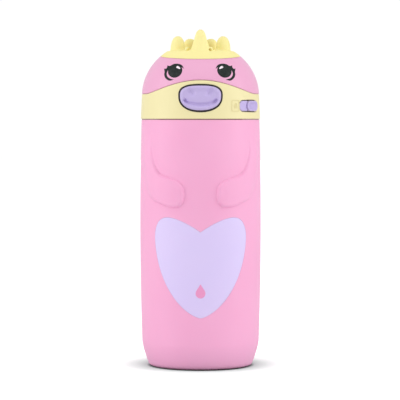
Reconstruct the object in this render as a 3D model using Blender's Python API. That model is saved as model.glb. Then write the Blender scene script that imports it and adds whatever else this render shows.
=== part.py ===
"""Kids' flip-top water bottle shaped like a small animal: a double-walled steel bottle in a soft silicone
sleeve, with a screw-on lid. The domed cover springs open when the snout is pushed; a slider locks it shut.

Frame: metres, +Z up, origin in the middle of the flat underside, front (snout, belly heart) towards -Y.
Angles round the bottle are counted from the front, positive towards +X.
"""

import math

import bmesh
import bpy
from mathutils import Vector

MM = 0.001

# Driving dimensions, in metres
GAP = 0.3 * MM  # room left between neighbouring pieces
BELLY_RADIUS = 36.5 * MM  # widest radius of the sleeve
BELLY_HEIGHT = 85 * MM  # height of that widest place
CROWN = 0.23  # how quickly the barrel narrows, per metre: radius falls by CROWN * height difference squared
HEEL_HEIGHT = 15 * MM  # the foot of the sleeve draws in below this height
HEEL_TAPER = 4.4 * MM  # by this much
HEEL_POWER = 1.4
HEEL_CORNER = 1.4 * MM  # and ends in a corner of this radius
SLEEVE_TOP = 148.3 * MM
COLLAR_BOTTOM = 149 * MM
DOME_RADIUS = 35.4 * MM  # half axes and centre height of the domed head
DOME_HEIGHT = 32.7 * MM
DOME_CENTRE = 162.7 * MM
HEAD_BASE_RADIUS = 36 * MM

STEEL_RADIUS = 33.4 * MM  # straight outer wall of the steel bottle
STEEL_WALL = 0.7 * MM
LINER_RADIUS = 31.2 * MM
LINER_WALL = 0.6 * MM
NECK_RADIUS = 24.3 * MM
NECK_TOP = 161 * MM

SEAM_SIDE = 163.8 * MM  # parting line between collar and cover, at the sides and back
SEAM_RISE = 7.8 * MM  # how far it rises over the snout
SEAM_HALF_ANGLE = math.radians(66)
SEAM_SHARPNESS = 0.8
SEAM_GAP = 0.5 * MM
COLLAR_WALL = 1.6 * MM
COVER_WALL = 1.8 * MM

DECK_BOTTOM = 164 * MM
DECK_TOP = 165.6 * MM
DECK_RADIUS = 32.4 * MM
SKIRT_INNER = 25.9 * MM
SKIRT_OUTER = 27.3 * MM

THREAD_PITCH = 4.5 * MM
NECK_THREAD_START = 152.5 * MM
NECK_THREAD_CREST = 25.5 * MM
LID_THREAD_CREST = 24.75 * MM

SNOUT_HEIGHT = 162.35 * MM  # level of the snout's widest place
SNOUT_HALF_WIDTH = 13.1 * MM
SNOUT_UP = 7.05 * MM
SNOUT_DOWN = 9.5 * MM
BUTTON_FACE_RADIUS = 36.9 * MM

LOCK_HEIGHT = 156.7 * MM
LOCK_SLOT_ANGLE = math.radians(56.75)
LOCK_SLOT_HALF = math.radians(15.4)
LOCK_SLOT_HALF_HEIGHT = 3.55 * MM
LOCK_KNOB_HALF = math.radians(9.9)
LOCK_KNOB_HALF_HEIGHT = 3.2 * MM

HINGE_Y = 38.2 * MM
HINGE_Z = 165 * MM
HINGE_BARREL = 2.8 * MM
HINGE_BORE = 1.4 * MM
PIN_RADIUS = 1.1 * MM
PIN_HALF_LENGTH = 12.2 * MM
COLLAR_KNUCKLE = (3.4 * MM, 7.3 * MM)  # from here to here along the hinge, on both sides of the middle
COVER_KNUCKLE = (7.6 * MM, 12 * MM)

HEART_HALF_ANGLE = math.radians(49.4)
HEART_WIDEST = 79.1 * MM
INLAY_DEPTH = 0.8 * MM

# Each arm, shoulder to hand: angle (degrees) and height (mm) of its upper edge, then of its lower edge
ARM_EDGES = (
    (54.1, 133.1, 70.0, 133.0),
    (51.9, 126.2, 69.7, 124.3),
    (47.4, 120.5, 65.5, 113.0),
    (40.8, 116.3, 58.0, 104.2),
    (32.4, 114.5, 45.0, 100.0),
    (24.8, 113.0, 32.4, 97.2),
    (19.3, 111.1, 23.8, 96.7),
    (16.3, 108.5, 18.0, 98.4),
    (15.3, 105.6, 15.9, 101.0),
)
# Its cross-section: share of the way from upper to lower edge, and height above the sleeve (mm)
ARM_SECTION = ((0, -1.5), (0, 0.2), (0.12, 0.85), (0.5, 1.1), (0.88, 0.85), (1, 0.2), (1, -1.5))
ARM_SHOULDER_RISE = 0.3  # how much of the full height each step from the shoulder adds

CREST_EDGE = 186.9 * MM  # height of the crest's edge at the sides
CREST_TILT = 0.10  # the edge drops towards the front by this share of the distance
CREST_THICKNESS = 1.6 * MM
CREST_PLATEAU = 190.2 * MM  # height between the spikes
CROWN_FLOOR = 188.2 * MM  # height of the shell's flat top, under the crest

VISIBLE_SIDES = 40
HIDDEN_SIDES = 28

MATERIALS = {
    "sleeve_pink": ((0.93, 0.44, 0.66), 0.55, 0.0),
    "head_pink": ((0.93, 0.46, 0.69), 0.40, 0.0),
    "lavender": ((0.74, 0.64, 0.96), 0.50, 0.0),
    "button_lavender": ((0.57, 0.49, 0.80), 0.45, 0.0),
    "lemon": ((0.93, 0.86, 0.48), 0.45, 0.0),
    "crest_lemon": ((0.97, 0.89, 0.50), 0.60, 0.0),
    "steel": ((0.62, 0.62, 0.64), 0.30, 1.0),
    "white_plastic": ((0.86, 0.86, 0.85), 0.40, 0.0),
    "clear_silicone": ((0.88, 0.88, 0.90), 0.35, 0.0),
    "black_silicone": ((0.02, 0.02, 0.02), 0.60, 0.0),
}


# ---------------------------------------------------------------- helpers

def clear_scene():
    for obj in list(bpy.data.objects):
        bpy.data.objects.remove(obj)


def make_materials():
    made = {}
    for name, (colour, roughness, metallic) in MATERIALS.items():
        material = bpy.data.materials.new(name)
        material.use_nodes = True
        shader = material.node_tree.nodes["Principled BSDF"]
        shader.inputs["Base Color"].default_value = (*colour, 1)
        shader.inputs["Roughness"].default_value = roughness
        shader.inputs["Metallic"].default_value = metallic
        made[name] = material
    return made


def add_mesh(name, bm, material=None):
    """Links a bmesh as a named object, with its faces turned outwards."""
    bmesh.ops.recalc_face_normals(bm, faces=bm.faces)
    mesh = bpy.data.meshes.new(name)
    bm.to_mesh(mesh)
    bm.free()
    obj = bpy.data.objects.new(name, mesh)
    bpy.context.scene.collection.objects.link(obj)
    if material:
        mesh.materials.append(bpy.data.materials[material])
    mesh.shade_smooth()
    mesh.set_sharp_from_angle(angle=math.radians(35))
    return obj


def combine(target, tool, operation):
    """Applies a Boolean of the tool to the target, then removes the tool."""
    modifier = target.modifiers.new(operation.lower(), "BOOLEAN")
    modifier.operation = operation
    modifier.object = tool
    graph = bpy.context.evaluated_depsgraph_get()
    result = bpy.data.meshes.new_from_object(target.evaluated_get(graph))
    target.modifiers.remove(modifier)
    target.data = result
    bpy.data.objects.remove(tool)
    return target


def cut(target, *tools):
    for tool in tools:
        combine(target, tool, "DIFFERENCE")
    return target


def weld(target, *tools):
    for tool in tools:
        combine(target, tool, "UNION")
    return target


def around(radius, angle, height):
    """A point at this radius, angle from the front, and height."""
    return Vector((radius * math.sin(angle), -radius * math.cos(angle), height))


def arc(centre_r, centre_z, radius, start, end, steps):
    """Points along an arc in the turning plane, angles in degrees from +radius towards +Z."""
    points = []
    for i in range(steps + 1):
        a = math.radians(start + (end - start) * i / steps)
        points.append((centre_r + radius * math.cos(a), centre_z + radius * math.sin(a)))
    return points


def turned(name, profile, sides, material=None):
    """A solid turned about Z. The profile is a closed loop, or runs from axis to axis."""
    bm = bmesh.new()
    verts = [bm.verts.new((r, 0, z)) for r, z in profile]
    edges = [bm.edges.new(pair) for pair in zip(verts, verts[1:])]
    if profile[0][0] > 0:
        edges.append(bm.edges.new((verts[-1], verts[0])))
    bmesh.ops.spin(
        bm, geom=verts + edges, cent=(0, 0, 0), axis=(0, 0, 1),
        angle=math.tau, steps=sides, use_merge=True,
    )
    bmesh.ops.remove_doubles(bm, verts=bm.verts, dist=1e-6)
    return add_mesh(name, bm, material)


def lofted(name, sections, closed, material=None):
    """Skins a ring of (angle, profile) sections. A profile is a closed loop, or runs from axis to axis."""
    bm = bmesh.new()
    rows = []
    for angle, profile in sections:
        rows.append([bm.verts.new(around(r, angle, z)) for r, z in profile])
    for row, following in zip(rows, rows[1:] + rows[:1]):
        for j in range(len(row) if closed else len(row) - 1):
            k = (j + 1) % len(row)
            bm.faces.new((row[j], following[j], following[k], row[k]))
    bmesh.ops.remove_doubles(bm, verts=bm.verts, dist=1e-6)
    return add_mesh(name, bm, material)


def stacked(name, rings, material=None, last_centre=None, first_centre=None):
    """Skins rings of points in order and closes both ends with fans round their centres."""
    bm = bmesh.new()
    rows = [[bm.verts.new(p) for p in ring] for ring in rings]
    count = len(rows[0])
    for lower, upper in zip(rows, rows[1:]):
        for i in range(count):
            j = (i + 1) % count
            bm.faces.new((lower[i], lower[j], upper[j], upper[i]))
    for row, centre in ((rows[0], first_centre), (rows[-1], last_centre)):
        middle = centre or sum((v.co for v in row), Vector()) / count
        hub = bm.verts.new(middle)
        for i in range(count):
            bm.faces.new((row[i], row[(i + 1) % count], hub))
    return add_mesh(name, bm, material)


def block(x0, x1, y0, y1, z0, z1):
    """A box between two corners."""
    bm = bmesh.new()
    bmesh.ops.create_cube(bm, size=1)
    size = Vector((x1 - x0, y1 - y0, z1 - z0))
    middle = Vector((x0 + x1, y0 + y1, z0 + z1)) / 2
    for v in bm.verts:
        v.co = middle + Vector(a * b for a, b in zip(v.co, size))
    return add_mesh("block", bm)


def rod(centre, radius, length, direction, sides=20):
    """A cylinder about its centre, along a direction."""
    bm = bmesh.new()
    bmesh.ops.create_cone(
        bm, cap_ends=True, segments=sides, radius1=radius, radius2=radius, depth=length
    )
    turn = Vector((0, 0, 1)).rotation_difference(Vector(direction)).to_matrix().to_4x4()
    bmesh.ops.transform(bm, matrix=turn, verts=bm.verts)
    bmesh.ops.translate(bm, vec=centre, verts=bm.verts)
    return add_mesh("rod", bm)


def plate_in_yz(outline, x0, x1):
    """An outline in Y and Z, extruded along X."""
    bm = bmesh.new()
    face = bm.faces.new([bm.verts.new((x0, y, z)) for y, z in outline])
    moved = bmesh.ops.extrude_face_region(bm, geom=[face])["geom"]
    verts = [v for v in moved if isinstance(v, bmesh.types.BMVert)]
    bmesh.ops.translate(bm, vec=(x1 - x0, 0, 0), verts=verts)
    return add_mesh("plate", bm)


def wire(name, points, radius, material):
    """A round wire through the points, as a capped curve."""
    curve = bpy.data.curves.new(name, "CURVE")
    curve.dimensions = "3D"
    curve.bevel_depth = radius
    curve.bevel_resolution = 0
    curve.use_fill_caps = True
    spline = curve.splines.new("POLY")
    spline.points.add(len(points) - 1)
    for spot, p in zip(spline.points, points):
        spot.co = (*p, 1)
    obj = bpy.data.objects.new(name, curve)
    bpy.context.scene.collection.objects.link(obj)
    curve.materials.append(bpy.data.materials[material])
    return obj


def helical_ridge(root, crest, start_height, start_turn, turns, root_half, crest_half):
    """One screw thread as a solid. Its height follows one helix for any start, and its ends fade out."""
    steps = round(turns * HIDDEN_SIDES)
    fade = 5
    rings = []
    for i in range(steps + 1):
        turn = start_turn + turns * i / steps
        grown = min(1, i / fade, (steps - i) / fade) * 0.94 + 0.06
        top = root + (crest - root) * grown
        z = start_height + THREAD_PITCH * turn
        a = math.tau * turn
        ring = []
        for r, dz in ((root, -root_half), (top, -crest_half), (top, crest_half), (root, root_half)):
            ring.append(Vector((r * math.cos(a), r * math.sin(a), z + dz)))
        rings.append(ring)
    return stacked("ridge", rings)


# ---------------------------------------------------------------- shared shapes

def sleeve_radius(z):
    """Outer radius of the sleeve: a slight barrel that draws in towards its foot, with a rounded corner."""
    above_heel = max(z, HEEL_HEIGHT)
    barrel = BELLY_RADIUS - CROWN * (above_heel - BELLY_HEIGHT) ** 2
    drawn_in = HEEL_TAPER * ((above_heel - z) / HEEL_HEIGHT) ** HEEL_POWER
    low = max(0.0, HEEL_CORNER - z)
    corner = HEEL_CORNER - math.sqrt(HEEL_CORNER**2 - low**2)
    return barrel - drawn_in - corner


def head_radius(z):
    """Outer radius of the lid and cover: nearly straight, then half an ellipsoid."""
    if z <= DOME_CENTRE:
        share = (z - COLLAR_BOTTOM) / (DOME_CENTRE - COLLAR_BOTTOM)
        return HEAD_BASE_RADIUS + (DOME_RADIUS - HEAD_BASE_RADIUS) * share
    share = min(1, (z - DOME_CENTRE) / DOME_HEIGHT)
    return DOME_RADIUS * math.sqrt(1 - share * share)


def seam_height(angle):
    """Height of the wavy parting line, which arches over the snout."""
    turned_by = abs((angle + math.pi) % math.tau - math.pi)
    if turned_by >= SEAM_HALF_ANGLE:
        return SEAM_SIDE
    wave = 0.5 * (1 + math.cos(math.pi * turned_by / SEAM_HALF_ANGLE))
    return SEAM_SIDE + SEAM_RISE * wave**SEAM_SHARPNESS


def dome_profile(low, high, inset, steps):
    """Points up the dome, moved inwards by inset along its normal, from height low to height high."""
    def parameter(z):
        return math.asin(max(-1.0, min(1.0, (z - DOME_CENTRE) / (DOME_HEIGHT - inset))))
    start, end = parameter(low), parameter(high)
    points = []
    for i in range(steps + 1):
        t = start + (end - start) * i / steps
        r = (DOME_RADIUS - inset) * math.cos(t)
        points.append((r, DOME_CENTRE + (DOME_HEIGHT - inset) * math.sin(t)))
    return points


def snout_outline(grow, sides=40):
    """The snout's rounded outline in X and Z, flatter on top, grown outwards by grow."""
    points = []
    for i in range(sides):
        a = math.tau * i / sides
        c, s = math.cos(a), math.sin(a)
        power = 2 / 2.8 if s > 0 else 2 / 2.3
        half = (SNOUT_UP if s > 0 else SNOUT_DOWN) + grow
        x = (SNOUT_HALF_WIDTH + grow) * math.copysign(abs(c) ** power, c)
        z = SNOUT_HEIGHT + half * math.copysign(abs(s) ** power, s)
        points.append((x, z))
    return points


def on_front(outline, radius, shrink=1.0):
    """An outline in X and Z laid on an upright cylinder, seen along Y."""
    points = []
    for x, z in outline:
        x, z = x * shrink, SNOUT_HEIGHT + (z - SNOUT_HEIGHT) * shrink
        points.append(Vector((x, -math.sqrt(radius * radius - x * x), z)))
    return points


def stadium(centre_angle, half_angle, half_height, steps=6):
    """A slot outline with round ends, as (angle, height) pairs."""
    end = half_height / HEAD_BASE_RADIUS  # the round end's width, as an angle
    points = []
    for side in (1, -1):
        for i in range(steps + 1):
            a = math.pi * (i / steps - 0.5)
            angle = centre_angle + side * (half_angle - end + end * math.cos(a))
            points.append((angle, LOCK_HEIGHT + side * half_height * math.sin(a)))
    return points


def wrapped(outline, radius, shrink=1.0):
    """An (angle, height) outline at one radius, shrunk about its middle."""
    middle_a = sum(a for a, _ in outline) / len(outline)
    middle_z = sum(z for _, z in outline) / len(outline)
    points = []
    for a, z in outline:
        points.append(around(radius, middle_a + (a - middle_a) * shrink, middle_z + (z - middle_z) * shrink))
    return points


def heart_edges(angle, grow=0.0):
    """Lowest and highest point of the belly heart at an angle, grown outwards by grow."""
    u = min(1.0, abs(angle) / (HEART_HALF_ANGLE + grow / BELLY_RADIUS))
    low = HEART_WIDEST - (47.7 * MM + grow) * (1 - u**1.5) ** 0.56
    high = HEART_WIDEST + (3.1 * MM + grow + 21.5 * MM * u - 11.8 * MM * u * u) * math.sqrt(1 - u**6)
    return low, high


def heart_slab(name, grow, inner, outer, material=None):
    """The heart as a curved slab between two depths below the sleeve's surface."""
    columns = 16
    rows = 3
    half = HEART_HALF_ANGLE + grow / BELLY_RADIUS
    bm = bmesh.new()
    skins = []
    for depth in (outer, inner):
        grid = []
        for i in range(columns + 1):
            angle = half * math.sin(math.pi / 2 * (2 * i / columns - 1))
            low, high = heart_edges(angle, grow)
            heights = [low + (high - low) * j / rows for j in range(rows + 1)]
            if i in (0, columns):
                heights = [HEART_WIDEST] * (rows + 1)
            grid.append([bm.verts.new(around(sleeve_radius(z) - depth, angle, z)) for z in heights])
        for left, right in zip(grid, grid[1:]):
            for j in range(rows):
                bm.faces.new((left[j], right[j], right[j + 1], left[j + 1]))
        skins.append(grid)
    front, back = skins
    for i in range(columns):
        for j in (0, rows):
            bm.faces.new((front[i][j], front[i + 1][j], back[i + 1][j], back[i][j]))
    for i in (0, columns):
        for j in range(rows):
            bm.faces.new((front[i][j], front[i][j + 1], back[i][j + 1], back[i][j]))
    bmesh.ops.remove_doubles(bm, verts=bm.verts, dist=1e-6)
    return add_mesh(name, bm, material)


# ---------------------------------------------------------------- the bottle

def arm(side):
    """One folded arm: a bent limb lying in the sleeve's surface, its hand towards the front."""
    rings = []
    for i, (upper_angle, upper_mm, lower_angle, lower_mm) in enumerate(ARM_EDGES):
        grown = min(1.0, ARM_SHOULDER_RISE * (i + 1))
        ring = []
        for share, rise_mm in ARM_SECTION:
            angle = math.radians(upper_angle + (lower_angle - upper_angle) * share) * side
            z = (upper_mm + (lower_mm - upper_mm) * share) * MM
            rise = rise_mm * MM * (grown if rise_mm > 0 else 1)
            ring.append(around(sleeve_radius(z) + rise, angle, z))
        rings.append(ring)
    return stacked("arm", rings)


def silicone_sleeve():
    corner = [HEEL_CORNER * (1 - math.cos(math.pi / 2 * i / 3)) for i in range(4)]
    heel = corner + [HEEL_CORNER + (HEEL_HEIGHT - HEEL_CORNER) * i / 4 for i in range(1, 5)]
    side = [HEEL_HEIGHT + (SLEEVE_TOP - HEEL_HEIGHT) * i / 5 for i in range(1, 6)]
    outer = [(sleeve_radius(z), z) for z in heel + side]
    outer[-1] = (outer[-1][0] - 0.4 * MM, SLEEVE_TOP)
    outer.insert(-1, (sleeve_radius(SLEEVE_TOP), SLEEVE_TOP - 0.4 * MM))
    sleeve = turned("silicone_sleeve", [(0, 0), *outer, (0, SLEEVE_TOP)], VISIBLE_SIDES, "sleeve_pink")
    weld(sleeve, arm(1), arm(-1))
    bore = STEEL_RADIUS + GAP
    floor = 2 * MM
    round_in = arc(bore - 9 * MM, floor + 9 * MM, 9 * MM, -90, 0, 4)
    cavity = [(0, floor), *round_in, (bore, SLEEVE_TOP + 5 * MM), (0, SLEEVE_TOP + 5 * MM)]
    cut(sleeve, turned("cavity", cavity, HIDDEN_SIDES))
    cut(sleeve, heart_slab("pocket", GAP, INLAY_DEPTH + GAP, -2 * MM))
    return sleeve


def outer_shell():
    """Straight steel wall, shoulder and neck, with an open port in its base for the welded cap."""
    low = 2.3 * MM
    port = 20 * MM
    t = STEEL_WALL
    outside = [
        (port, low),
        *arc(STEEL_RADIUS - 9 * MM, low + 9 * MM, 9 * MM, -90, 0, 3),
        *arc(STEEL_RADIUS - 6 * MM, 141.5 * MM, 6 * MM, 0, 90, 2),
        *arc(NECK_RADIUS + 1.5 * MM, 149 * MM, 1.5 * MM, -90, -180, 1),
        (NECK_RADIUS, NECK_TOP),
    ]
    inside = [
        (NECK_RADIUS - t, NECK_TOP),
        *arc(NECK_RADIUS + 1.5 * MM, 149 * MM, 2.2 * MM, -180, -90, 1),
        *arc(STEEL_RADIUS - 6 * MM, 141.5 * MM, 5.3 * MM, 90, 0, 2),
        *arc(STEEL_RADIUS - 9 * MM, low + 9 * MM, 9 * MM - t, 0, -90, 3),
        (port, low + t),
    ]
    shell = turned("outer_shell", outside + inside, HIDDEN_SIDES, "steel")
    root = NECK_RADIUS - 0.25 * MM
    ridge = helical_ridge(root, NECK_THREAD_CREST, NECK_THREAD_START, 0, 1.25, 1.0 * MM, 0.5 * MM)
    return weld(shell, ridge)


def inner_liner():
    """The drinking vessel, hung from its rolled lip over the top of the outer neck."""
    low = 7.5 * MM
    neck = NECK_RADIUS - STEEL_WALL - GAP
    t = LINER_WALL
    outside = [
        (0, low),
        *arc(LINER_RADIUS - 8 * MM, low + 8 * MM, 8 * MM, -90, 0, 3),
        *arc(LINER_RADIUS - 5 * MM, 139.5 * MM, 5 * MM, 0, 90, 2),
        *arc(neck + 1.2 * MM, 145.7 * MM, 1.2 * MM, -90, -180, 1),
        (neck, NECK_TOP + 0.3 * MM),
        (NECK_RADIUS + 0.1 * MM, NECK_TOP + 0.3 * MM),
        (NECK_RADIUS + 0.1 * MM, NECK_TOP + 1 * MM),
    ]
    inside = [
        (neck - t, NECK_TOP + 1 * MM),
        *arc(neck + 1.2 * MM, 145.7 * MM, 1.8 * MM, -180, -90, 1),
        *arc(LINER_RADIUS - 5 * MM, 139.5 * MM, 4.4 * MM, 90, 0, 2),
        *arc(LINER_RADIUS - 8 * MM, low + 8 * MM, 8 * MM - t, 0, -90, 3),
        (0, low + t),
    ]
    return turned("inner_liner", outside + inside, HIDDEN_SIDES, "steel")


def base_pieces():
    """The cap welded into the shell's base, and the getter that keeps the vacuum, on top of it."""
    cap = [
        (0, 2.9 * MM), (15 * MM, 2.9 * MM), (16 * MM, 2.3 * MM), (19.7 * MM, 2.3 * MM),
        (19.7 * MM, 3 * MM), (16.4 * MM, 3 * MM), (15.4 * MM, 3.6 * MM), (0, 3.6 * MM),
    ]
    turned("bottom_cap", cap, HIDDEN_SIDES, "steel")
    getter = [(0, 3.9 * MM), (4 * MM, 3.9 * MM), (4.5 * MM, 4.4 * MM), (4.5 * MM, 5.6 * MM), (0, 5.6 * MM)]
    turned("getter_capsule", getter, 16, "steel")


# ---------------------------------------------------------------- the lid

def lid_gasket():
    section = arc(0, 0, 0.7 * MM, 0, 360, 6)[:-1]
    middle_r, middle_z = 24.1 * MM, NECK_TOP + 2 * MM
    profile = [(middle_r + 1.9 * r, middle_z + z) for r, z in section]
    return turned("lid_gasket", profile, HIDDEN_SIDES, "clear_silicone")


def hinge_lug(outline, x0, x1):
    """One knuckle: a barrel round the hinge axis on an arm of the given outline, before it is bored."""
    middle = ((x0 + x1) / 2, HINGE_Y, HINGE_Z)
    lug = rod(middle, HINGE_BARREL, x1 - x0, (1, 0, 0), 20)
    return weld(lug, plate_in_yz(outline, x0 + 0.01 * MM, x1 - 0.01 * MM))


def hinge_bore():
    return rod((0, HINGE_Y, HINGE_Z), HINGE_BORE, 40 * MM, (1, 0, 0), 16)


def lid_collar():
    """The yellow ring with the wavy top edge, the snout's hole, the lock's slot and two hinge knuckles."""
    sections = []
    for i in range(VISIBLE_SIDES):
        angle = math.tau * i / VISIBLE_SIDES
        top = seam_height(angle) - SEAM_GAP / 2
        heights = [COLLAR_BOTTOM + (top - COLLAR_BOTTOM) * share for share in (0, 0.35, 0.7, 1)]
        outer = [(head_radius(z), z) for z in heights]
        inner = [(head_radius(z) - COLLAR_WALL, z) for z in reversed(heights)]
        sections.append((angle, outer + inner))
    collar = lofted("lid_collar", sections, True, "lemon")
    hole = snout_outline(0.1 * MM)
    through = [[Vector((x, y, z)) for x, z in hole] for y in (-25 * MM, -45 * MM)]
    cut(collar, stacked("hole", through))
    slot = stadium(LOCK_SLOT_ANGLE, LOCK_SLOT_HALF, LOCK_SLOT_HALF_HEIGHT)
    cut(collar, stacked("slot", [wrapped(slot, 30 * MM), wrapped(slot, 42 * MM)]))
    pocket_sections = []
    for i in range(13):
        angle = math.radians(27 + 5 * i)
        pocket_sections.append([around(r, angle, z) for r, z in (
            (31 * MM, 151.2 * MM), (34.6 * MM, 151.2 * MM), (34.6 * MM, 162.7 * MM), (31 * MM, 162.7 * MM))])
    cut(collar, stacked("pocket", pocket_sections))
    arm_outline = [
        (34.6 * MM, 157.5 * MM), (36 * MM, 157.9 * MM), (40.2 * MM, 163 * MM),
        (HINGE_Y, HINGE_Z), (35.7 * MM, 163.4 * MM), (34.6 * MM, 163.3 * MM),
    ]
    for side in (1, -1):
        weld(collar, hinge_lug(arm_outline, *(side * x for x in COLLAR_KNUCKLE[::side])))
    return cut(collar, hinge_bore())


def lid_insert():
    """The inner cap: threaded skirt, deck with holes for spout and vent, flange that closes the collar."""
    profile = [
        (SKIRT_INNER, 149.6 * MM), (33.8 * MM, 149.6 * MM), (33.8 * MM, 151 * MM),
        (SKIRT_OUTER, 151 * MM), (SKIRT_OUTER, DECK_BOTTOM), (DECK_RADIUS, DECK_BOTTOM),
        (DECK_RADIUS, DECK_TOP), (5.6 * MM, DECK_TOP), (5.6 * MM, DECK_BOTTOM), (SKIRT_INNER, DECK_BOTTOM),
    ]
    insert = turned("lid_insert", profile, 32, "white_plastic")
    start = NECK_THREAD_START - THREAD_PITCH / 2
    root = SKIRT_INNER + 0.25 * MM
    weld(insert, helical_ridge(root, LID_THREAD_CREST, start, 0.25, 1.0, 1.0 * MM, 0.5 * MM))
    for x in (-10.2 * MM, 10.2 * MM):
        weld(insert, rod((x, -25.8 * MM, 160.2 * MM), 0.9 * MM, 2.8 * MM, (0, 1, 0), 10))
    cut(insert, block(-15 * MM, 15 * MM, -36 * MM, -29 * MM, 163 * MM, 167 * MM))
    return cut(insert, rod((-14 * MM, 4 * MM, 165 * MM), 2 * MM, 8 * MM, (0, 0, 1), 14))


def drinking_pieces():
    """Soft spout through the deck, straw pushed up into it, and the one-way air vent."""
    spout = [
        (3.6 * MM, 155 * MM), (5.0 * MM, 155 * MM), (5.2 * MM, 161 * MM), (7.2 * MM, 161.8 * MM),
        (7.2 * MM, 163.7 * MM), (5.3 * MM, 163.7 * MM), (5.3 * MM, 165.9 * MM), (8.5 * MM, 165.9 * MM),
        (8.5 * MM, 167 * MM), (5.6 * MM, 168.2 * MM), (5.0 * MM, 174 * MM), (5.8 * MM, 178 * MM),
        (5.6 * MM, 180.2 * MM), (4.6 * MM, 181 * MM), (2.9 * MM, 181 * MM), (2.4 * MM, 180 * MM),
        (2.4 * MM, 161.3 * MM), (3.6 * MM, 161.3 * MM),
    ]
    turned("spout", spout, 20, "clear_silicone")
    straw = [(2.5 * MM, 13 * MM), (3.3 * MM, 13 * MM), (3.3 * MM, 161 * MM), (2.5 * MM, 161 * MM)]
    turned("straw", straw, 20, "white_plastic")
    stem = [
        (0, 161.2 * MM), (1.2 * MM, 161.2 * MM), (2.6 * MM, 163.6 * MM), (1.6 * MM, 163.7 * MM),
        (1.6 * MM, 165.9 * MM), (4.2 * MM, 165.9 * MM), (3.6 * MM, 166.8 * MM), (0, 167.2 * MM),
    ]
    vent = turned("vent_valve", stem, 16, "clear_silicone")
    vent.location = (-14 * MM, 4 * MM, 0)


def hinge_pieces():
    """Steel pin through the knuckles, and the torsion spring wound on it between them."""
    pin = rod((0, HINGE_Y, HINGE_Z), PIN_RADIUS, 2 * PIN_HALF_LENGTH, (1, 0, 0), 16)
    pin.name = "hinge_pin"
    pin.data.materials.append(bpy.data.materials["steel"])
    coil, turns, half = 1.85 * MM, 5.5, 2.7 * MM
    steps = 60
    points = [(-half, HINGE_Y - coil, HINGE_Z - 6 * MM)]
    for i in range(steps + 1):
        a = math.pi + math.tau * turns * i / steps
        x = -half + 2 * half * i / steps
        points.append((x, HINGE_Y + coil * math.cos(a), HINGE_Z + coil * math.sin(a)))
    last = points[-1]
    points.append((last[0], last[1] - 0.4 * MM, last[2] + 2.4 * MM))
    points.append((last[0], HINGE_Y - 2.1 * MM, HINGE_Z + 6 * MM))
    wire("hinge_spring", points, 0.32 * MM, "steel")


# ---------------------------------------------------------------- snout button and lock

def snout_button():
    """The push button: a snout-shaped face, a channel for the cover's tongue, and a catch bar behind it."""
    outline = snout_outline(-1.0 * MM)
    rings = [[Vector((x, -31.4 * MM, z)) for x, z in outline]]
    for radius, shrink in ((36.1, 1.0), (36.7, 0.95), (36.9, 0.8), (36.9, 0.45)):
        rings.append(on_front(outline, radius * MM, shrink))
    button = stacked("snout_button", rings, "button_lavender",
                     last_centre=Vector((0, -BUTTON_FACE_RADIUS, SNOUT_HEIGHT)))
    low, high = 157 * MM, 163.4 * MM
    for x0, x1 in ((6.7, 10), (-10, -6.7)):
        weld(button, block(x0 * MM, x1 * MM, -32.4 * MM, -29.5 * MM, low, high))
    for x0, x1 in ((9.5, 13.8), (-13.8, -9.5)):
        weld(button, block(x0 * MM, x1 * MM, -30.5 * MM, -29.45 * MM, low + 0.2 * MM, high - 0.2 * MM))
    cut(button, block(-6.4 * MM, 6.4 * MM, -34.3 * MM, -25 * MM, 155 * MM, 175 * MM))
    return weld(button, block(-7.2 * MM, 7.2 * MM, -30.4 * MM, -29.4 * MM, 157.6 * MM, 161 * MM))


def button_wiper():
    """Thin black seal that fills the groove round the button."""
    outer, inner = snout_outline(-0.2 * MM), snout_outline(-0.65 * MM)
    bm = bmesh.new()
    rows = []
    for outline, radius in ((outer, 35.0), (outer, 34.2), (inner, 34.2), (inner, 35.0)):
        rows.append([bm.verts.new(p) for p in on_front(outline, radius * MM)])
    count = len(outer)
    for row, following in zip(rows, rows[1:] + rows[:1]):
        for i in range(count):
            j = (i + 1) % count
            bm.faces.new((row[i], row[j], following[j], following[i]))
    return add_mesh("button_wiper", bm, "black_silicone")


def button_springs():
    """Two small compression springs that push the button back out."""
    for side, name in ((-1, "button_spring_left"), (1, "button_spring_right")):
        start, end, turns, steps = -28.9 * MM, -26.4 * MM, 3.5, 28
        points = []
        for i in range(steps + 1):
            a = math.tau * turns * i / steps
            x = side * 10.2 * MM + 1.6 * MM * math.cos(a)
            points.append((x, start + (end - start) * i / steps, 160.2 * MM + 1.6 * MM * math.sin(a)))
        wire(name, points, 0.22 * MM, "steel")


def lock_slider():
    """The lock: a curved plate behind the collar's slot, with a domed knob standing out through it."""
    inner, outer, low, high = 33.2 * MM, 34.3 * MM, 151.6 * MM, 162.3 * MM
    sections = []
    for i in range(10):
        angle = math.radians(40 + 43 * i / 9)
        corners = ((inner, low), (outer, low), (outer, high), (inner, high))
        sections.append([around(r, angle, z) for r, z in corners])
    slider = stacked("lock_slider", sections, "button_lavender")
    centre = LOCK_SLOT_ANGLE + LOCK_SLOT_HALF - LOCK_KNOB_HALF - math.radians(0.5)
    knob = stadium(centre, LOCK_KNOB_HALF, LOCK_KNOB_HALF_HEIGHT)
    rings = [wrapped(knob, 33.7 * MM), wrapped(knob, 36.6 * MM), wrapped(knob, 37.1 * MM, 0.8)]
    return weld(slider, stacked("knob", rings, last_centre=around(37.2 * MM, centre, LOCK_HEIGHT)))


# ---------------------------------------------------------------- the cover

def crest_edge(angle, shift=0.0):
    """Height where the tilted edge of the crest meets the dome at an angle, moved up by shift."""
    z = CREST_EDGE + shift
    for _ in range(6):
        z = CREST_EDGE + shift - CREST_TILT * head_radius(z) * math.cos(angle)
    return z


def flat_dome(low, top, inset, steps):
    """The inset dome from height low, cut off nearly flat at height top, as points up to the axis."""
    return dome_profile(low, top, inset, steps) + [(0, top + 0.3 * MM)]


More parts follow.
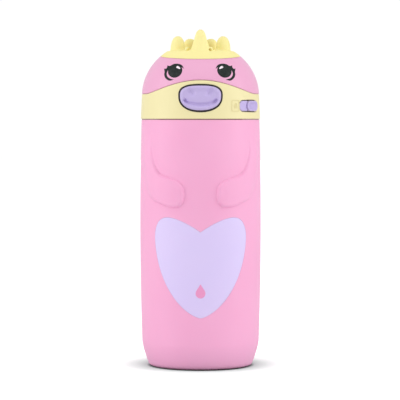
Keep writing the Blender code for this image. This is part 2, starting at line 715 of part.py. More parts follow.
def cover_shell():
    """The pink dome, stepped in under the crest, with two hinge knuckles at the back."""
    seat = CREST_THICKNESS + GAP
    sections = []
    for i in range(VISIBLE_SIDES):
        angle = math.tau * i / VISIBLE_SIDES
        bottom = seam_height(angle) + SEAM_GAP / 2
        edge = crest_edge(angle, -GAP / 2)
        outer = dome_profile(bottom, edge, 0, 5)
        step = flat_dome(edge - 0.9 * MM, CROWN_FLOOR, seat, 2)
        lip = dome_profile(bottom, bottom + 1 * MM, COVER_WALL, 1)[0]
        inner = [lip] + flat_dome(bottom + 6 * MM, CROWN_FLOOR - 1.5 * MM, seat + 1.2 * MM, 3)
        profile = list(reversed(step)) + list(reversed(outer)) + inner
        sections.append((angle, profile))
    cover = lofted("cover_shell", sections, False, "head_pink")
    arm_outline = [
        (34.2 * MM, 164.4 * MM), (35.7 * MM, 164.4 * MM), (HINGE_Y, HINGE_Z), (40.3 * MM, 166.7 * MM),
        (35.6 * MM, 171 * MM), (33 * MM, 171.5 * MM), (32.6 * MM, 169 * MM),
    ]
    for side in (1, -1):
        weld(cover, hinge_lug(arm_outline, *(side * x for x in COVER_KNUCKLE[::side])))
    return cut(cover, hinge_bore())


def cover_liner():
    """The white inner dome, with the tongue that latches behind the button and the post for the seal."""
    outer_inset, inner_inset = 4.1 * MM, 5.3 * MM
    sections = []
    for i in range(HIDDEN_SIDES):
        angle = math.tau * i / HIDDEN_SIDES
        bottom = max(seam_height(angle) + 0.8 * MM, 166.4 * MM) + 1.2 * MM
        outer = flat_dome(bottom, CROWN_FLOOR - 2.5 * MM, outer_inset, 4)
        inner = flat_dome(bottom, CROWN_FLOOR - 3.6 * MM, inner_inset, 4)
        sections.append((angle, list(reversed(outer)) + inner))
    liner = lofted("cover_liner", sections, False, "white_plastic")
    tongue = [
        (-31.8, 156.4), (-31.8, 166), (-30.4, 171), (-28.7, 175.5), (-27.3, 177.2), (-26.4, 176.6),
        (-27.7, 174), (-29.3, 170.4), (-30.7, 165.5), (-30.7, 157.9), (-30.35, 157.2), (-30.35, 156.4),
    ]
    weld(liner, plate_in_yz([(y * MM, z * MM) for y, z in tongue], -4.5 * MM, 4.5 * MM))
    return weld(liner, rod((0, 0, 185.1 * MM), 4.5 * MM, 3.0 * MM, (0, 0, 1), 20))


def spout_seal():
    """Silicone pad under the post, which stops the spout when the cover is shut."""
    pad = [(0, 181.3 * MM), (7 * MM, 181.3 * MM), (8 * MM, 182 * MM), (8 * MM, 183.3 * MM), (0, 183.3 * MM)]
    return turned("spout_seal", pad, 24, "clear_silicone")


def spike(base, tip, width, depth):
    """One rounded spike of the crest, from below its base to its tip."""
    base, tip = Vector(base) * MM, Vector(tip) * MM
    sides = 10
    rings = []
    for share, scale in ((0, 1.0), (0.3, 0.92), (0.6, 0.74), (0.85, 0.48), (0.96, 0.25)):
        centre = base.lerp(tip, share)
        half_x, half_y = width * MM * scale, depth * MM * scale
        ring = []
        for k in range(sides):
            a = math.tau * k / sides
            ring.append(centre + Vector((half_x * math.cos(a), half_y * math.sin(a), 0)))
        rings.append(ring)
    return stacked("spike", rings, last_centre=tip)


def crest():
    """The soft yellow crown: a cap let into the dome, with five rounded spikes."""
    sections = []
    for i in range(VISIBLE_SIDES):
        angle = math.tau * i / VISIBLE_SIDES
        edge = crest_edge(angle, GAP / 2)
        slope = dome_profile(edge, CREST_PLATEAU - 0.4 * MM, 0, 2)
        outer = slope + [(15 * MM, CREST_PLATEAU), (0, CREST_PLATEAU)]
        under = dome_profile(edge - 0.5 * MM, 180 * MM, CREST_THICKNESS + 2 * MM, 1)
        sections.append((angle, list(reversed(outer)) + [under[0], (0, 178 * MM)]))
    crown = lofted("crest", sections, False, "crest_lemon")
    weld(crown, spike((0, -16, 186), (0, -13.5, 202.6), 6.8, 5.4))
    for side in (1, -1):
        weld(crown, spike((side * 15.6, -4.6, 186), (side * 13.4, -4, 199.2), 5.6, 5.4))
        weld(crown, spike((side * 8.8, 11.4, 187.5), (side * 7.6, 10, 198.2), 5.2, 4.6))
    seat = flat_dome(176 * MM, CROWN_FLOOR + GAP, CREST_THICKNESS, 5)
    return cut(crown, turned("seat", [(0, 165 * MM), *seat], VISIBLE_SIDES))


def main():
    clear_scene()
    make_materials()
    silicone_sleeve()
    heart_slab("belly_inlay", 0.0, INLAY_DEPTH, 0.0, "lavender")
    outer_shell()
    inner_liner()
    base_pieces()
    lid_gasket()
    lid_collar()
    lid_insert()
    drinking_pieces()
    hinge_pieces()
    snout_button()
    button_wiper()
    button_springs()
    lock_slider()
    cover_shell()
    cover_liner()
    spout_seal()
    crest()


main()
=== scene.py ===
# %% [markdown]
# # A kids' flip-top bottle in the shape of a small crested animal
# The real bottle is a double-walled steel flask in a pink silicone sleeve. Its screw lid is the animal's
# head: a lemon collar, a lavender snout that is the push button, a pink flip cover with two printed eyes,
# and a soft crest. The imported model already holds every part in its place, so this notebook only gives
# the parts their fine shape and finish. It works in millimetres and converts once, where a mesh is made.

from math import cos, pi, radians, sin, tau

import bmesh
import bpy
import numpy as np
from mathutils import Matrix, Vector


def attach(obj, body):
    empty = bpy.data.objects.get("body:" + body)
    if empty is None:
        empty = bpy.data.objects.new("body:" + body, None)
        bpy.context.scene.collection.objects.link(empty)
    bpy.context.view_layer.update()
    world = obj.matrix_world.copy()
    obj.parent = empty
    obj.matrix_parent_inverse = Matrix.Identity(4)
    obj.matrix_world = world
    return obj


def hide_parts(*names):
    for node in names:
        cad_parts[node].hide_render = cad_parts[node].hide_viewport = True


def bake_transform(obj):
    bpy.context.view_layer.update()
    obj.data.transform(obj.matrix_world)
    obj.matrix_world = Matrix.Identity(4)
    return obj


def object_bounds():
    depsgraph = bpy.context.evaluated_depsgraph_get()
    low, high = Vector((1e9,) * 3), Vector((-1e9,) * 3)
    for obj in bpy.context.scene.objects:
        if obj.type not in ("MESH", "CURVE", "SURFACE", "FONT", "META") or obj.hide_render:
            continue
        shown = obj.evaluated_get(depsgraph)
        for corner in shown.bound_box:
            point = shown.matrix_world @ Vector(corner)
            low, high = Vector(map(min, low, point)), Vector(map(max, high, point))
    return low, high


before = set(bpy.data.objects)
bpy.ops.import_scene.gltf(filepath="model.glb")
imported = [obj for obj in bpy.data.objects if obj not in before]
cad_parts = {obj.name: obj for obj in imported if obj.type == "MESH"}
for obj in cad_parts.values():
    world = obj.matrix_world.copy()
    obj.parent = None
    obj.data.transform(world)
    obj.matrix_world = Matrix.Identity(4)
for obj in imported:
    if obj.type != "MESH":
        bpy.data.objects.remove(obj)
cad_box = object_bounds()
MM = 0.001
print("model is", [round(side / MM, 1) for side in cad_box[1] - cad_box[0]], "mm")

# %% [markdown]
# ## The studio
# Pastel goods are lit from two long softboxes, one on each side, in a white room. The sides of a round
# body then come out a little brighter than its front. A bright room alone would leave every surface flat,
# so the world gives the base, and area lights at both sides and above give the shape. The colour
# transform is Standard, which keeps pastel colours as they are mixed.

# %% Camera at the height of the seam between body and head
scene = bpy.context.scene
scene.view_settings.view_transform = "Standard"
EYE_LEVEL, STAND_OFF, ASIDE, TILT_DOWN, LENS_LENGTH = 148.6, 1200.0, -0.3, 2.33, 178.45
lens = bpy.data.cameras.new("portrait_lens")
lens.sensor_width = 36
lens.lens = LENS_LENGTH
lens.clip_start = 0.05
camera = bpy.data.objects.new("portrait_camera", lens)
camera.location = Vector((ASIDE, -STAND_OFF, EYE_LEVEL)) * MM
camera.rotation_euler = (radians(90 - TILT_DOWN), 0, 0)
scene.collection.objects.link(camera)
scene.camera = camera
print("camera stands", STAND_OFF, "mm away, its lens is", round(lens.lens, 1), "mm")

# %% White room and softboxes
ROOM_LIGHT, BACKDROP_LIGHT = 0.76, 1.02
WHITE = (1, 1, 1, 1)


def feed(tree, sockets, values):
    """Gives each socket a plain value or another node's output."""
    for socket, value in dict(values).items():
        if isinstance(value, bpy.types.NodeSocket):
            tree.links.new(value, sockets[socket])
        else:
            sockets[socket].default_value = value


def add_node(tree, kind, inputs=(), **settings):
    """Adds a shader node, feeds its inputs and returns its outputs."""
    node = tree.nodes.new("ShaderNode" + kind)
    for name, value in settings.items():
        setattr(node, name, value)
    feed(tree, node.inputs, inputs)
    return node.outputs


world = bpy.data.worlds.new("white_room")
scene.world = world
world.use_nodes = True
room = world.node_tree
room.nodes.clear()
lit = add_node(room, "Background", {"Color": WHITE, "Strength": ROOM_LIGHT})[0]
seen = add_node(room, "Background", {"Color": WHITE, "Strength": BACKDROP_LIGHT})[0]
by_camera = add_node(room, "LightPath")["Is Camera Ray"]
add_node(room, "OutputWorld", {0: add_node(room, "MixShader", {0: by_camera, 1: lit, 2: seen})[0]})


def softbox(name, azimuth, height, distance, width, tall, power):
    """A rectangular light at an angle round the bottle, aimed at its middle."""
    light = bpy.data.lights.new(name, "AREA")
    light.shape = "RECTANGLE"
    light.size = width * MM
    light.size_y = tall * MM
    light.energy = power
    box = bpy.data.objects.new(name, light)
    around = radians(azimuth)
    box.location = Vector((distance * sin(around), -distance * cos(around), height)) * MM
    aim = Vector((0, 0, 110 * MM)) - box.location
    box.rotation_mode = "QUATERNION"
    box.rotation_quaternion = aim.to_track_quat("-Z", "Y")
    scene.collection.objects.link(box)


for side, azimuth, power in (("left", -74, 1.6), ("right", 74, 1.65)):
    softbox(f"softbox_{side}", azimuth, height=190, distance=650, width=420, tall=900, power=power)
softbox("softbox_top", 0, height=720, distance=330, width=600, tall=500, power=0.68)

# %% [markdown]
# ## Tools for shaping
# Almost every part here is turned round one axis with something let into it: a wavy edge, a heart, two
# arms. Such a part is a grid of points, one column per angle, whose radius and height come from a
# formula. Making the whole grid at once with numpy is quick and exact, and Blender's own modifiers do
# what a grid can't: cutting holes.

# %% Grids, smooth lines and closed skins


def ease(low, high, value):
    """0 below low, 1 above high, and a smooth rise between."""
    share = np.clip((value - low) / (high - low), 0, 1)
    return share * share * (3 - 2 * share)


def smooth_line(points, closed=False, per_span=8):
    """A curve through the points, which passes each of them without a corner."""
    p = np.asarray(points, float)
    count = len(p)
    t = np.linspace(0, 1, per_span, endpoint=False)[:, None]
    pieces = []
    for i in range(count if closed else count - 1):
        picks = [i - 1, i, i + 1, i + 2]
        a, b, c, d = (p[k % count] if closed else p[min(max(k, 0), count - 1)] for k in picks)
        way = (c - a) * t + (2 * a - 5 * b + 4 * c - d) * t**2 + (3 * b - a - 3 * c + d) * t**3
        pieces.append(b + 0.5 * way)
    return np.concatenate(pieces if closed else pieces + [p[-1:]])


def round_corners(points, radius, closed=False, steps=4):
    """The same line with its corners rounded, each by at most half of the shorter side next to it."""
    p = np.asarray(points, float)
    count = len(p)
    made = []
    for i in range(count):
        if not closed and i in (0, count - 1):
            made.append(p[i : i + 1])
            continue
        before, after = p[i - 1] - p[i], p[(i + 1) % count] - p[i]
        reach = min(radius, np.linalg.norm(before) / 2.1, np.linalg.norm(after) / 2.1)
        start = p[i] + before / np.linalg.norm(before) * reach
        end = p[i] + after / np.linalg.norm(after) * reach
        t = np.linspace(0, 1, steps)[:, None]
        made.append((1 - t) ** 2 * start + 2 * t * (1 - t) * p[i] + t**2 * end)
    return np.concatenate(made)


def on_turn(radius, angle, height):
    """Points at a radius and height, at an angle counted from the front towards the bottle's left hand."""
    radius, angle, height = np.broadcast_arrays(radius, angle, height)
    return np.stack([radius * np.sin(angle), -radius * np.cos(angle), height], -1)


def grid_faces(columns, rows, loop_columns=True, loop_rows=True):
    """The quads of a grid of points, whose ends may meet."""
    i, j = np.meshgrid(
        np.arange(columns if loop_columns else columns - 1),
        np.arange(rows if loop_rows else rows - 1), indexing="ij")
    k, m = (i + 1) % columns, (j + 1) % rows
    return np.stack([i * rows + j, k * rows + j, k * rows + m, i * rows + m], -1).reshape(-1, 4).tolist()


def finish_normals(piece, sharp=35):
    piece.data.shade_smooth()
    piece.data.set_sharp_from_angle(angle=radians(sharp))


def make_piece(name, points, faces, sharp=35):
    """A mesh object from points in millimetres. Points that coincide become one, so rows may meet."""
    mesh = bpy.data.meshes.new(name)
    mesh.from_pydata((np.asarray(points, float).reshape(-1, 3) * MM).tolist(), [], faces)
    shape = bmesh.new()
    shape.from_mesh(mesh)
    bmesh.ops.remove_doubles(shape, verts=shape.verts, dist=0.002 * MM)
    bmesh.ops.recalc_face_normals(shape, faces=shape.faces)
    shape.to_mesh(mesh)
    shape.free()
    piece = bpy.data.objects.new(name, mesh)
    scene.collection.objects.link(piece)
    finish_normals(piece, sharp)
    return piece


def skin(name, grid, loop_columns=True, loop_rows=True, sharp=35):
    """A piece from a grid of points shaped (columns, rows, 3)."""
    return make_piece(name, grid, grid_faces(*grid.shape[:2], loop_columns, loop_rows), sharp)


def turned(name, profile, sides=144):
    """A piece turned about the bottle's axis. Its profile is a closed loop, or runs from axis to axis."""
    profile = np.asarray(profile, float)
    angles = np.linspace(0, tau, sides, endpoint=False)[:, None]
    return skin(name, on_turn(profile[:, 0], angles, profile[:, 1]), loop_rows=profile[0, 0] > 0)


def baked(source):
    """The mesh of an object with its modifiers applied."""
    return bpy.data.meshes.new_from_object(source.evaluated_get(bpy.context.evaluated_depsgraph_get()))


def combine(piece, tool, operation):
    """Combines a piece with a tool, and removes the tool."""
    step = piece.modifiers.new(operation.lower(), "BOOLEAN")
    step.operation = operation
    step.object = tool
    piece.data = baked(piece)
    piece.modifiers.clear()
    bpy.data.objects.remove(tool)
    finish_normals(piece)
    return piece


def join(piece, tool):
    return combine(piece, tool, "UNION")


def cut(piece, tool):
    return combine(piece, tool, "DIFFERENCE")


def dress(piece, finish, body, slot, *stands_for):
    """Gives a piece its finish, its body, and the nodes that it stands for; the record's slot is not used.
    """
    piece.data.materials.clear()
    piece.data.materials.append(finish)
    if body:
        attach(piece, body)
    if stands_for:
        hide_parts(*stands_for)
    print(f"{piece.name}: {len(piece.data.vertices)} points, moves with {body or 'both its ends'}")
    return piece


# %% [markdown]
# ## Finishes
# Moulded plastic and silicone are never quite even: the colour drifts a little over a hand's width, the
# tool leaves a fine grain, edges that are handled get paler, and dust settles in the tight corners. Each
# of those effects is used by several materials, so each is a node group that is built once. The pale
# edges also serve as a painted highlight on the button's and the lock's rims, and the darkened corners
# as painted shade in the crest's grooves.

# %% Node groups shared by the finishes


def new_group(name, inputs, *outputs):
    """An empty shader node group with these floats, and the sockets found inside it."""
    group = bpy.data.node_groups.new(name, "ShaderNodeTree")
    for label, value in inputs.items():
        socket = group.interface.new_socket(label, in_out="INPUT", socket_type="NodeSocketFloat")
        socket.default_value = value
    for label in outputs:
        group.interface.new_socket(label, in_out="OUTPUT", socket_type="NodeSocketFloat")
    given = group.nodes.new("NodeGroupInput").outputs
    return group, given, group.nodes.new("NodeGroupOutput").inputs


def noise(tree, at, scale, detail=2.0, roughness=0.5):
    inputs = {"Vector": at, "Scale": scale, "Detail": detail, "Roughness": roughness}
    return add_node(tree, "TexNoise", inputs)["Fac"]


def maths(tree, operation, *values):
    return add_node(tree, "Math", enumerate(values), operation=operation)[0]


def times(tree, first, second):
    return maths(tree, "MULTIPLY", first, second)


def plus(tree, first, second):
    return maths(tree, "ADD", first, second)


def ramp(tree, value, low, high, start=0.0, end=1.0):
    """Maps low..high to start..end, held at both ends."""
    inputs = {"Value": value, "From Min": low, "From Max": high, "To Min": start, "To Max": end}
    return add_node(tree, "MapRange", inputs, clamp=True)[0]


def place_of(tree):
    """Coordinates fixed to the piece, in metres, so that grain doesn't slide when it moves."""
    return add_node(tree, "TexCoord")["Object"]


def pointed(tree):
    """Over a half on outside edges, under a half in corners."""
    return add_node(tree, "NewGeometry")["Pointiness"]


def tool_grain():
    """Fine texture that a mould leaves: two sizes of noise, as a height and as a faint tone."""
    group, given, out = new_group("tool_grain", {"Size": 0.4}, "Height", "Tone")
    at = place_of(group)
    scale = maths(group, "DIVIDE", 1 / MM, given["Size"])
    coarse = noise(group, at, scale, 3.0, 0.6)
    fine = noise(group, at, times(group, scale, 3.1), 1.0)
    parts = times(group, coarse, 0.65), times(group, fine, 0.35)
    feed(group, out, {"Height": plus(group, *parts), "Tone": ramp(group, coarse, 0.3, 0.7)})
    return group


def slow_drift():
    """Colour drift over some centimetres, from how the pigment flowed."""
    group, given, out = new_group("slow_drift", {"Span": 40.0}, "Amount")
    scale = maths(group, "DIVIDE", 1 / MM, given["Span"])
    feed(group, out, {"Amount": ramp(group, noise(group, place_of(group), scale), 0.35, 0.65)})
    return group


def edge_wear_and_highlight():
    """Marks outside edges that hands rub, also used as a painted highlight, broken up by noise."""
    group, given, out = new_group("edge_wear_and_highlight", {"Width": 0.04, "Patchiness": 0.5}, "Mask")
    edge = ramp(group, pointed(group), 0.52, plus(group, 0.52, given["Width"]))
    patches = ramp(group, noise(group, place_of(group), 420.0, 3.0, 0.6), 0.35, 0.6)
    kept = maths(group, "SUBTRACT", 1.0, times(group, given["Patchiness"], patches))
    feed(group, out, {"Mask": times(group, edge, kept)})
    return group


def corner_dust_and_shade():
    """Marks inside corners, where fluff settles as grime, and where a dark tint paints shade."""
    group, given, out = new_group("corner_dust_and_shade", {"Reach": 0.05}, "Mask")
    open_area = ramp(group, pointed(group), maths(group, "SUBTRACT", 0.48, given["Reach"]), 0.48)
    speck = ramp(group, noise(group, place_of(group), 900.0, 4.0, 0.7), 0.42, 0.62)
    hollow = maths(group, "SUBTRACT", 1.0, open_area)
    feed(group, out, {"Mask": times(group, hollow, speck)})
    return group


def scuffs():
    """A few thin, long hairline scratches from a bag or a dishwasher rack."""
    group, given, out = new_group("scuffs", {"Density": 0.5}, "Mask")
    at = place_of(group)
    lines = []
    for angle, stretch in ((0.5, 30.0), (2.1, 22.0)):
        turned_to = {"Vector": at, "Rotation": (angle, angle * 0.7, angle),
                     "Scale": (stretch, 900.0, stretch)}
        along = add_node(group, "Mapping", turned_to)[0]
        lines.append(ramp(group, noise(group, along, 1.0, 0.0), 0.68, 0.72))
    where = ramp(group, noise(group, at, 45.0, 1.0), 0.5, 0.7)
    kept = times(group, maths(group, "MAXIMUM", *lines), where)
    feed(group, out, {"Mask": times(group, kept, given["Density"])})
    return group


GROUPS = {made.name: made for made in (tool_grain(), slow_drift(), edge_wear_and_highlight(), corner_dust_and_shade(), scuffs())}
print("node groups:", ", ".join(GROUPS))

# %% [markdown]
# ## From groups to materials
# A finish is written down as a colour for fresh plastic, a second one it drifts to, and how rough, grainy
# and worn it is. Everything that changes over the surface goes through the groups. What is the same all
# over, such as the specular level, is set on the shader's own socket. The crest's colour is also painted
# darker towards its middle, between the horns: painted shade where little light reaches.

# %% A material from a few plain values


def colour(red, green, blue):
    """A colour picked on a screen, 0 to 255, as the linear values that shaders take."""
    def linear(c):
        c /= 255
        return c / 12.92 if c <= 0.04045 else ((c + 0.055) / 1.055) ** 2.4
    return (linear(red), linear(green), linear(blue), 1)


def use(tree, name, **values):
    return add_node(tree, "Group", values, node_tree=GROUPS[name])


def blend_colour(tree, share, first, second):
    return add_node(tree, "Mix", {0: share, 6: first, 7: second}, data_type="RGBA")[2]


def bump(tree, height, strength, depth):
    """A normal from a height, whose full range is this many millimetres deep."""
    return add_node(tree, "Bump", {"Height": height, "Strength": strength, "Distance": depth * MM})[0]


def new_finish(name):
    """A new material, its node tree and its shader's sockets."""
    material = bpy.data.materials.new(name)
    material.use_nodes = True
    return material, material.node_tree, material.node_tree.nodes["Principled BSDF"].inputs


def moulded(name, fresh, drifted, roughness, grain=0.4, depth=0.02, wear_and_highlight=0.3, dust_and_shade_share=0.25, drift_span=40.0,
            specular=0.5, sheen=0.0, coat=0.0, soft=0.0, clear=0.0, dust_and_shade_tint=(0.72, 0.70, 0.68, 1)):
    """Moulded plastic or silicone: drift, grain, rubbed and painted-highlight edges, grimy and painted-shade
    corners, scuffs.
    """
    material, tree, shader = new_finish(name)
    fresh, drifted = colour(*fresh), colour(*drifted)
    texture = use(tree, "tool_grain", Size=grain)
    rubbed_and_lit_edges = use(tree, "edge_wear_and_highlight")["Mask"]
    dust_and_shade_mask = use(tree, "corner_dust_and_shade")["Mask"]
    scratched = use(tree, "scuffs")["Mask"]
    speckle = tuple(c * 0.97 for c in drifted[:3]) + (1,)
    pale = tuple(c + (1 - c) * 0.25 for c in fresh[:3]) + (1,)
    mixed = blend_colour(tree, use(tree, "slow_drift", Span=drift_span)["Amount"], fresh, drifted)
    for mask, share, tint in ((texture["Tone"], 0.25, speckle), (rubbed_and_lit_edges, wear_and_highlight, pale), (dust_and_shade_mask, dust_and_shade_share, dust_and_shade_tint)):
        mixed = blend_colour(tree, times(tree, mask, share), mixed, tint)
    rough = ramp(tree, texture["Tone"], 0, 1, roughness - 0.03, roughness + 0.03)
    for mask, share in ((rubbed_and_lit_edges, -0.08), (scratched, 0.12), (dust_and_shade_mask, 0.1)):
        rough = plus(tree, rough, times(tree, mask, share))
    feed(tree, shader, {
        "Base Color": mixed, "Roughness": rough, "Normal": bump(tree, texture["Height"], 0.5, depth),
        "Specular IOR Level": specular, "Sheen Weight": sheen, "Sheen Roughness": 0.4,
        "Coat Weight": coat, "Coat Roughness": 0.25, "Subsurface Weight": soft,
        "Subsurface Radius": (1.0, 0.6, 0.7), "Subsurface Scale": 1.5 * MM, "Transmission Weight": clear})
    material.diffuse_color = fresh
    return material


# %% The bottle's own colours
sleeve_silicone = moulded("sleeve_silicone", (247, 173, 212), (249, 177, 215), 0.50,
                          grain=0.30, wear_and_highlight=0.2, sheen=0.05, soft=0.1)
heart_silicone = moulded("heart_silicone", (221, 206, 251), (224, 209, 252), 0.50,
                         grain=0.30, wear_and_highlight=0.2, soft=0.1)
cover_plastic = moulded("cover_plastic", (236, 169, 205), (238, 173, 208), 0.38,
                        grain=0.45, depth=0.012, coat=0.1)
collar_plastic = moulded("collar_plastic", (240, 229, 173), (242, 232, 178), 0.42,
                         grain=0.45, depth=0.015)
sign_plastic = moulded("sign_plastic", (226, 214, 156), (230, 219, 162), 0.45, grain=0.45, depth=0.015)
# Painted shade: the crest's corners take a dark tint, which darkens its grooves and notches.
crest_rubber = moulded("crest_rubber", (249, 236, 158), (251, 239, 165), 0.62, grain=0.35,
                       depth=0.03, wear_and_highlight=0.15, soft=0.1, dust_and_shade_share=0.8, dust_and_shade_tint=colour(150, 132, 78))
# Painted highlight: the button's and the lock's pale rubbed edges are set strong, to light up their rims.
button_plastic = moulded("button_plastic", (194, 178, 226), (198, 182, 229), 0.42,
                         grain=0.35, depth=0.015, wear_and_highlight=0.4)
lock_plastic = moulded("lock_plastic", (190, 174, 226), (195, 179, 229), 0.42,
                       grain=0.35, depth=0.015, wear_and_highlight=0.4)
# Painted shade: near-black for the thin parts that stand for the shadow in the gaps round the button and the
# lock's knob.
gap_shade_black = moulded("gap_shade_black", (34, 30, 34), (40, 35, 39), 0.55,
                        grain=0.3, wear_and_highlight=0.1, specular=0.25)
# Painted shade: brown for the ring that stands for the shadow under the collar.
gap_shade_brown = moulded("gap_shade_brown", (120, 100, 88), (126, 106, 92), 0.60,
                        grain=0.3, wear_and_highlight=0.1, specular=0.2)
eye_ink = moulded("eye_ink", (28, 38, 36), (34, 44, 42), 0.35,
                  grain=0.25, depth=0.006, wear_and_highlight=0.0, dust_and_shade_share=0.0, specular=0.15)
iris_ink = moulded("iris_ink", (46, 54, 52), (30, 37, 36), 0.4, grain=0.5, depth=0.006,
                   wear_and_highlight=0.0, dust_and_shade_share=0.0, drift_span=1.2, specular=0.15)
glint_ink = moulded("glint_ink", (250, 232, 244), (252, 238, 248), 0.3, grain=0.3, depth=0.004, wear_and_highlight=0.0)
mark_ink = moulded("mark_ink", (238, 152, 200), (240, 158, 204), 0.45, grain=0.3, depth=0.01, wear_and_highlight=0.0)
inner_plastic = moulded("inner_plastic", (236, 236, 234), (240, 240, 239), 0.40, grain=0.5, depth=0.012)
food_silicone = moulded("food_silicone", (236, 238, 242), (240, 241, 244), 0.35,
                        depth=0.01, soft=0.3, clear=0.25)


def paint_shade_towards_axis(material, tint, near, far):
    """Painted shade: darkens a finish towards the bottle's axis, fully at near millimetres, not at far."""
    tree = material.node_tree
    shade = tree.nodes["Principled BSDF"].inputs["Base Color"]
    level = add_node(tree, "VectorMath", {0: place_of(tree), 1: (1, 1, 0)}, operation="MULTIPLY")[0]
    out = add_node(tree, "VectorMath", {0: level}, operation="LENGTH")["Value"]
    share = ramp(tree, out, near * MM, far * MM, 1, 0)
    tree.links.new(blend_colour(tree, share, shade.links[0].from_socket, tint), shade)


# Painted shade: the crest darkens towards its middle, between the horns, where little light reaches.
paint_shade_towards_axis(crest_rubber, colour(206, 190, 112), 5, 13)
print("moulded finishes:", len(bpy.data.materials))

# %% Brushed steel for the flask and the hinge


def brushed(name, tint, roughness, lay):
    """Steel with fine lines, close together along the axis that lay scales most, and clouding."""
    material, tree, shader = new_finish(name)
    along = add_node(tree, "Mapping", {"Vector": place_of(tree), "Scale": lay})[0]
    lines = noise(tree, along, 1.0, 3.0, 0.7)
    cloud = use(tree, "slow_drift", Span=18.0)["Amount"]
    dark = tuple(c * 0.82 for c in tint[:3]) + (1,)
    rough = ramp(tree, lines, 0.3, 0.7, roughness - 0.05, roughness + 0.08)
    feed(tree, shader, {
        "Base Color": blend_colour(tree, ramp(tree, lines, 0.35, 0.65), tint, dark),
        "Roughness": plus(tree, rough, times(tree, cloud, 0.05)),
        "Normal": bump(tree, lines, 0.4, 0.01), "Metallic": 1.0})
    return material


flask_steel = brushed("flask_steel", (0.62, 0.62, 0.63, 1), 0.28, (40, 40, 4000))
wire_steel = brushed("wire_steel", (0.66, 0.66, 0.68, 1), 0.22, (4000, 300, 300))
print("steel finishes:", flask_steel.name, wire_steel.name)

# %% [markdown]
# ## The floor
# A sheet of white card. Lit by the room alone it would come out light grey, so away from the bottle it
# also glows, for the camera only. Under the bottle a nearly black spot, set a little forward, gives the
# thin contact shadow that soft light from all sides would wash out. Round the bottle the card is also
# painted darker and a little green: a painted soft shadow, tinted against the pink that the sleeve throws.

# %% White floor
card = bpy.data.meshes.new("floor")
sheet = bmesh.new()
bmesh.ops.create_grid(sheet, x_segments=24, y_segments=24, size=6.0)
sheet.to_mesh(card)
sheet.free()
floor = bpy.data.objects.new("floor", card)
floor.location.z = cad_box[0].z - 0.02 * MM
scene.collection.objects.link(floor)
white_card, paper, surface = new_finish("white_card")
SPOT_FORWARD, SPOT_FULL, SPOT_END = 2.6, 29.0, 32.6
spot_centre = (0, -SPOT_FORWARD * MM, 0)
from_axis = add_node(paper, "VectorMath", {0: place_of(paper)}, operation="LENGTH")["Value"]
from_spot = add_node(paper, "VectorMath", {0: place_of(paper), 1: spot_centre},
                     operation="DISTANCE")["Value"]
tooth = use(paper, "tool_grain", Size=1.5)["Tone"]
card_tone = blend_colour(paper, tooth, (0.89, 0.89, 0.89, 1), (0.91, 0.91, 0.91, 1))
# Painted shadow: darker, greenish card near the bottle, fading to the plain card by 60 mm.
card_with_painted_shadow = blend_colour(paper, ramp(paper, from_axis, 30 * MM, 60 * MM), (0.62, 0.78, 0.71, 1), card_tone)
contact = ramp(paper, from_spot, SPOT_FULL * MM, SPOT_END * MM, 1.0, 0.0)
glow = times(paper, ramp(paper, from_axis, 32 * MM, 60 * MM, 0.0, 0.6),
             add_node(paper, "LightPath")["Is Camera Ray"])
feed(paper, surface, {
    "Base Color": blend_colour(paper, contact, card_with_painted_shadow, (0.02, 0.02, 0.025, 1)),
    "Emission Color": blend_colour(paper, glow, (0, 0, 0, 1), WHITE), "Emission Strength": 1.0,
    "Roughness": 0.9, "Specular IOR Level": 0.0})
card.materials.append(white_card)
print("floor at", round(floor.location.z / MM, 2), "mm")

# %% [markdown]
# ## The bottle's outline
# The barrel bulges by only a millimetre or so, and draws in at the heel, where it ends in a small round
# corner. The head starts as a nearly straight collar and closes as half an ellipsoid. The same formulas
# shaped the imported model, so a piece made from them lands where the model's own piece is.

# %% Radii of barrel and head, and the wavy seam
BELLY_RADIUS, BELLY_HEIGHT, BARREL_CURVE = 36.5, 85.0, 0.00023
HEEL_HEIGHT, HEEL_TAPER, HEEL_POWER, HEEL_CORNER = 15.0, 4.4, 1.4, 1.4
SLEEVE_TOP, COLLAR_BOTTOM, COLLAR_FOOT = 148.4, 149.0, 148.9
HEAD_BASE, DOME_RADIUS, DOME_HEIGHT, DOME_CENTRE = 36.0, 35.4, 32.7, 162.7
SEAM_SIDE, SEAM_RISE, SEAM_HALF, SEAM_GAP = 163.8, 7.8, radians(66), 0.14


def barrel_radius(z):
    above_heel = np.maximum(z, HEEL_HEIGHT)
    drawn_in = HEEL_TAPER * ((above_heel - z) / HEEL_HEIGHT) ** HEEL_POWER
    corner = HEEL_CORNER - np.sqrt(HEEL_CORNER**2 - np.maximum(HEEL_CORNER - z, 0) ** 2)
    return BELLY_RADIUS - BARREL_CURVE * (above_heel - BELLY_HEIGHT) ** 2 - drawn_in - corner


def head_radius(z):
    z = np.asarray(z, float)
    straight = HEAD_BASE + (DOME_RADIUS - HEAD_BASE) * (z - COLLAR_BOTTOM) / (DOME_CENTRE - COLLAR_BOTTOM)
    share = np.clip((z - DOME_CENTRE) / DOME_HEIGHT, 0, 1)
    return np.where(z <= DOME_CENTRE, straight, DOME_RADIUS * np.sqrt(1 - share**2))


def seam_height(angle):
    """The parting line between collar and cover, which arches over the snout."""
    away = np.minimum(np.abs((angle + pi) % tau - pi) / SEAM_HALF, 1)
    return SEAM_SIDE + SEAM_RISE * (0.5 * (1 + np.cos(pi * away))) ** 0.8


def dome_line(low, high, inset, steps):
    """Radius and height up the dome between two heights, one line for each of them."""
    tall = DOME_HEIGHT - inset
    low, high = np.broadcast_arrays(low, high)
    start, end = (np.arcsin(np.clip((z - DOME_CENTRE) / tall, -1, 1))[..., None] for z in (low, high))
    slope = start + (end - start) * np.linspace(0, 1, steps + 1)
    return (DOME_RADIUS - inset) * np.cos(slope), DOME_CENTRE + tall * np.sin(slope)


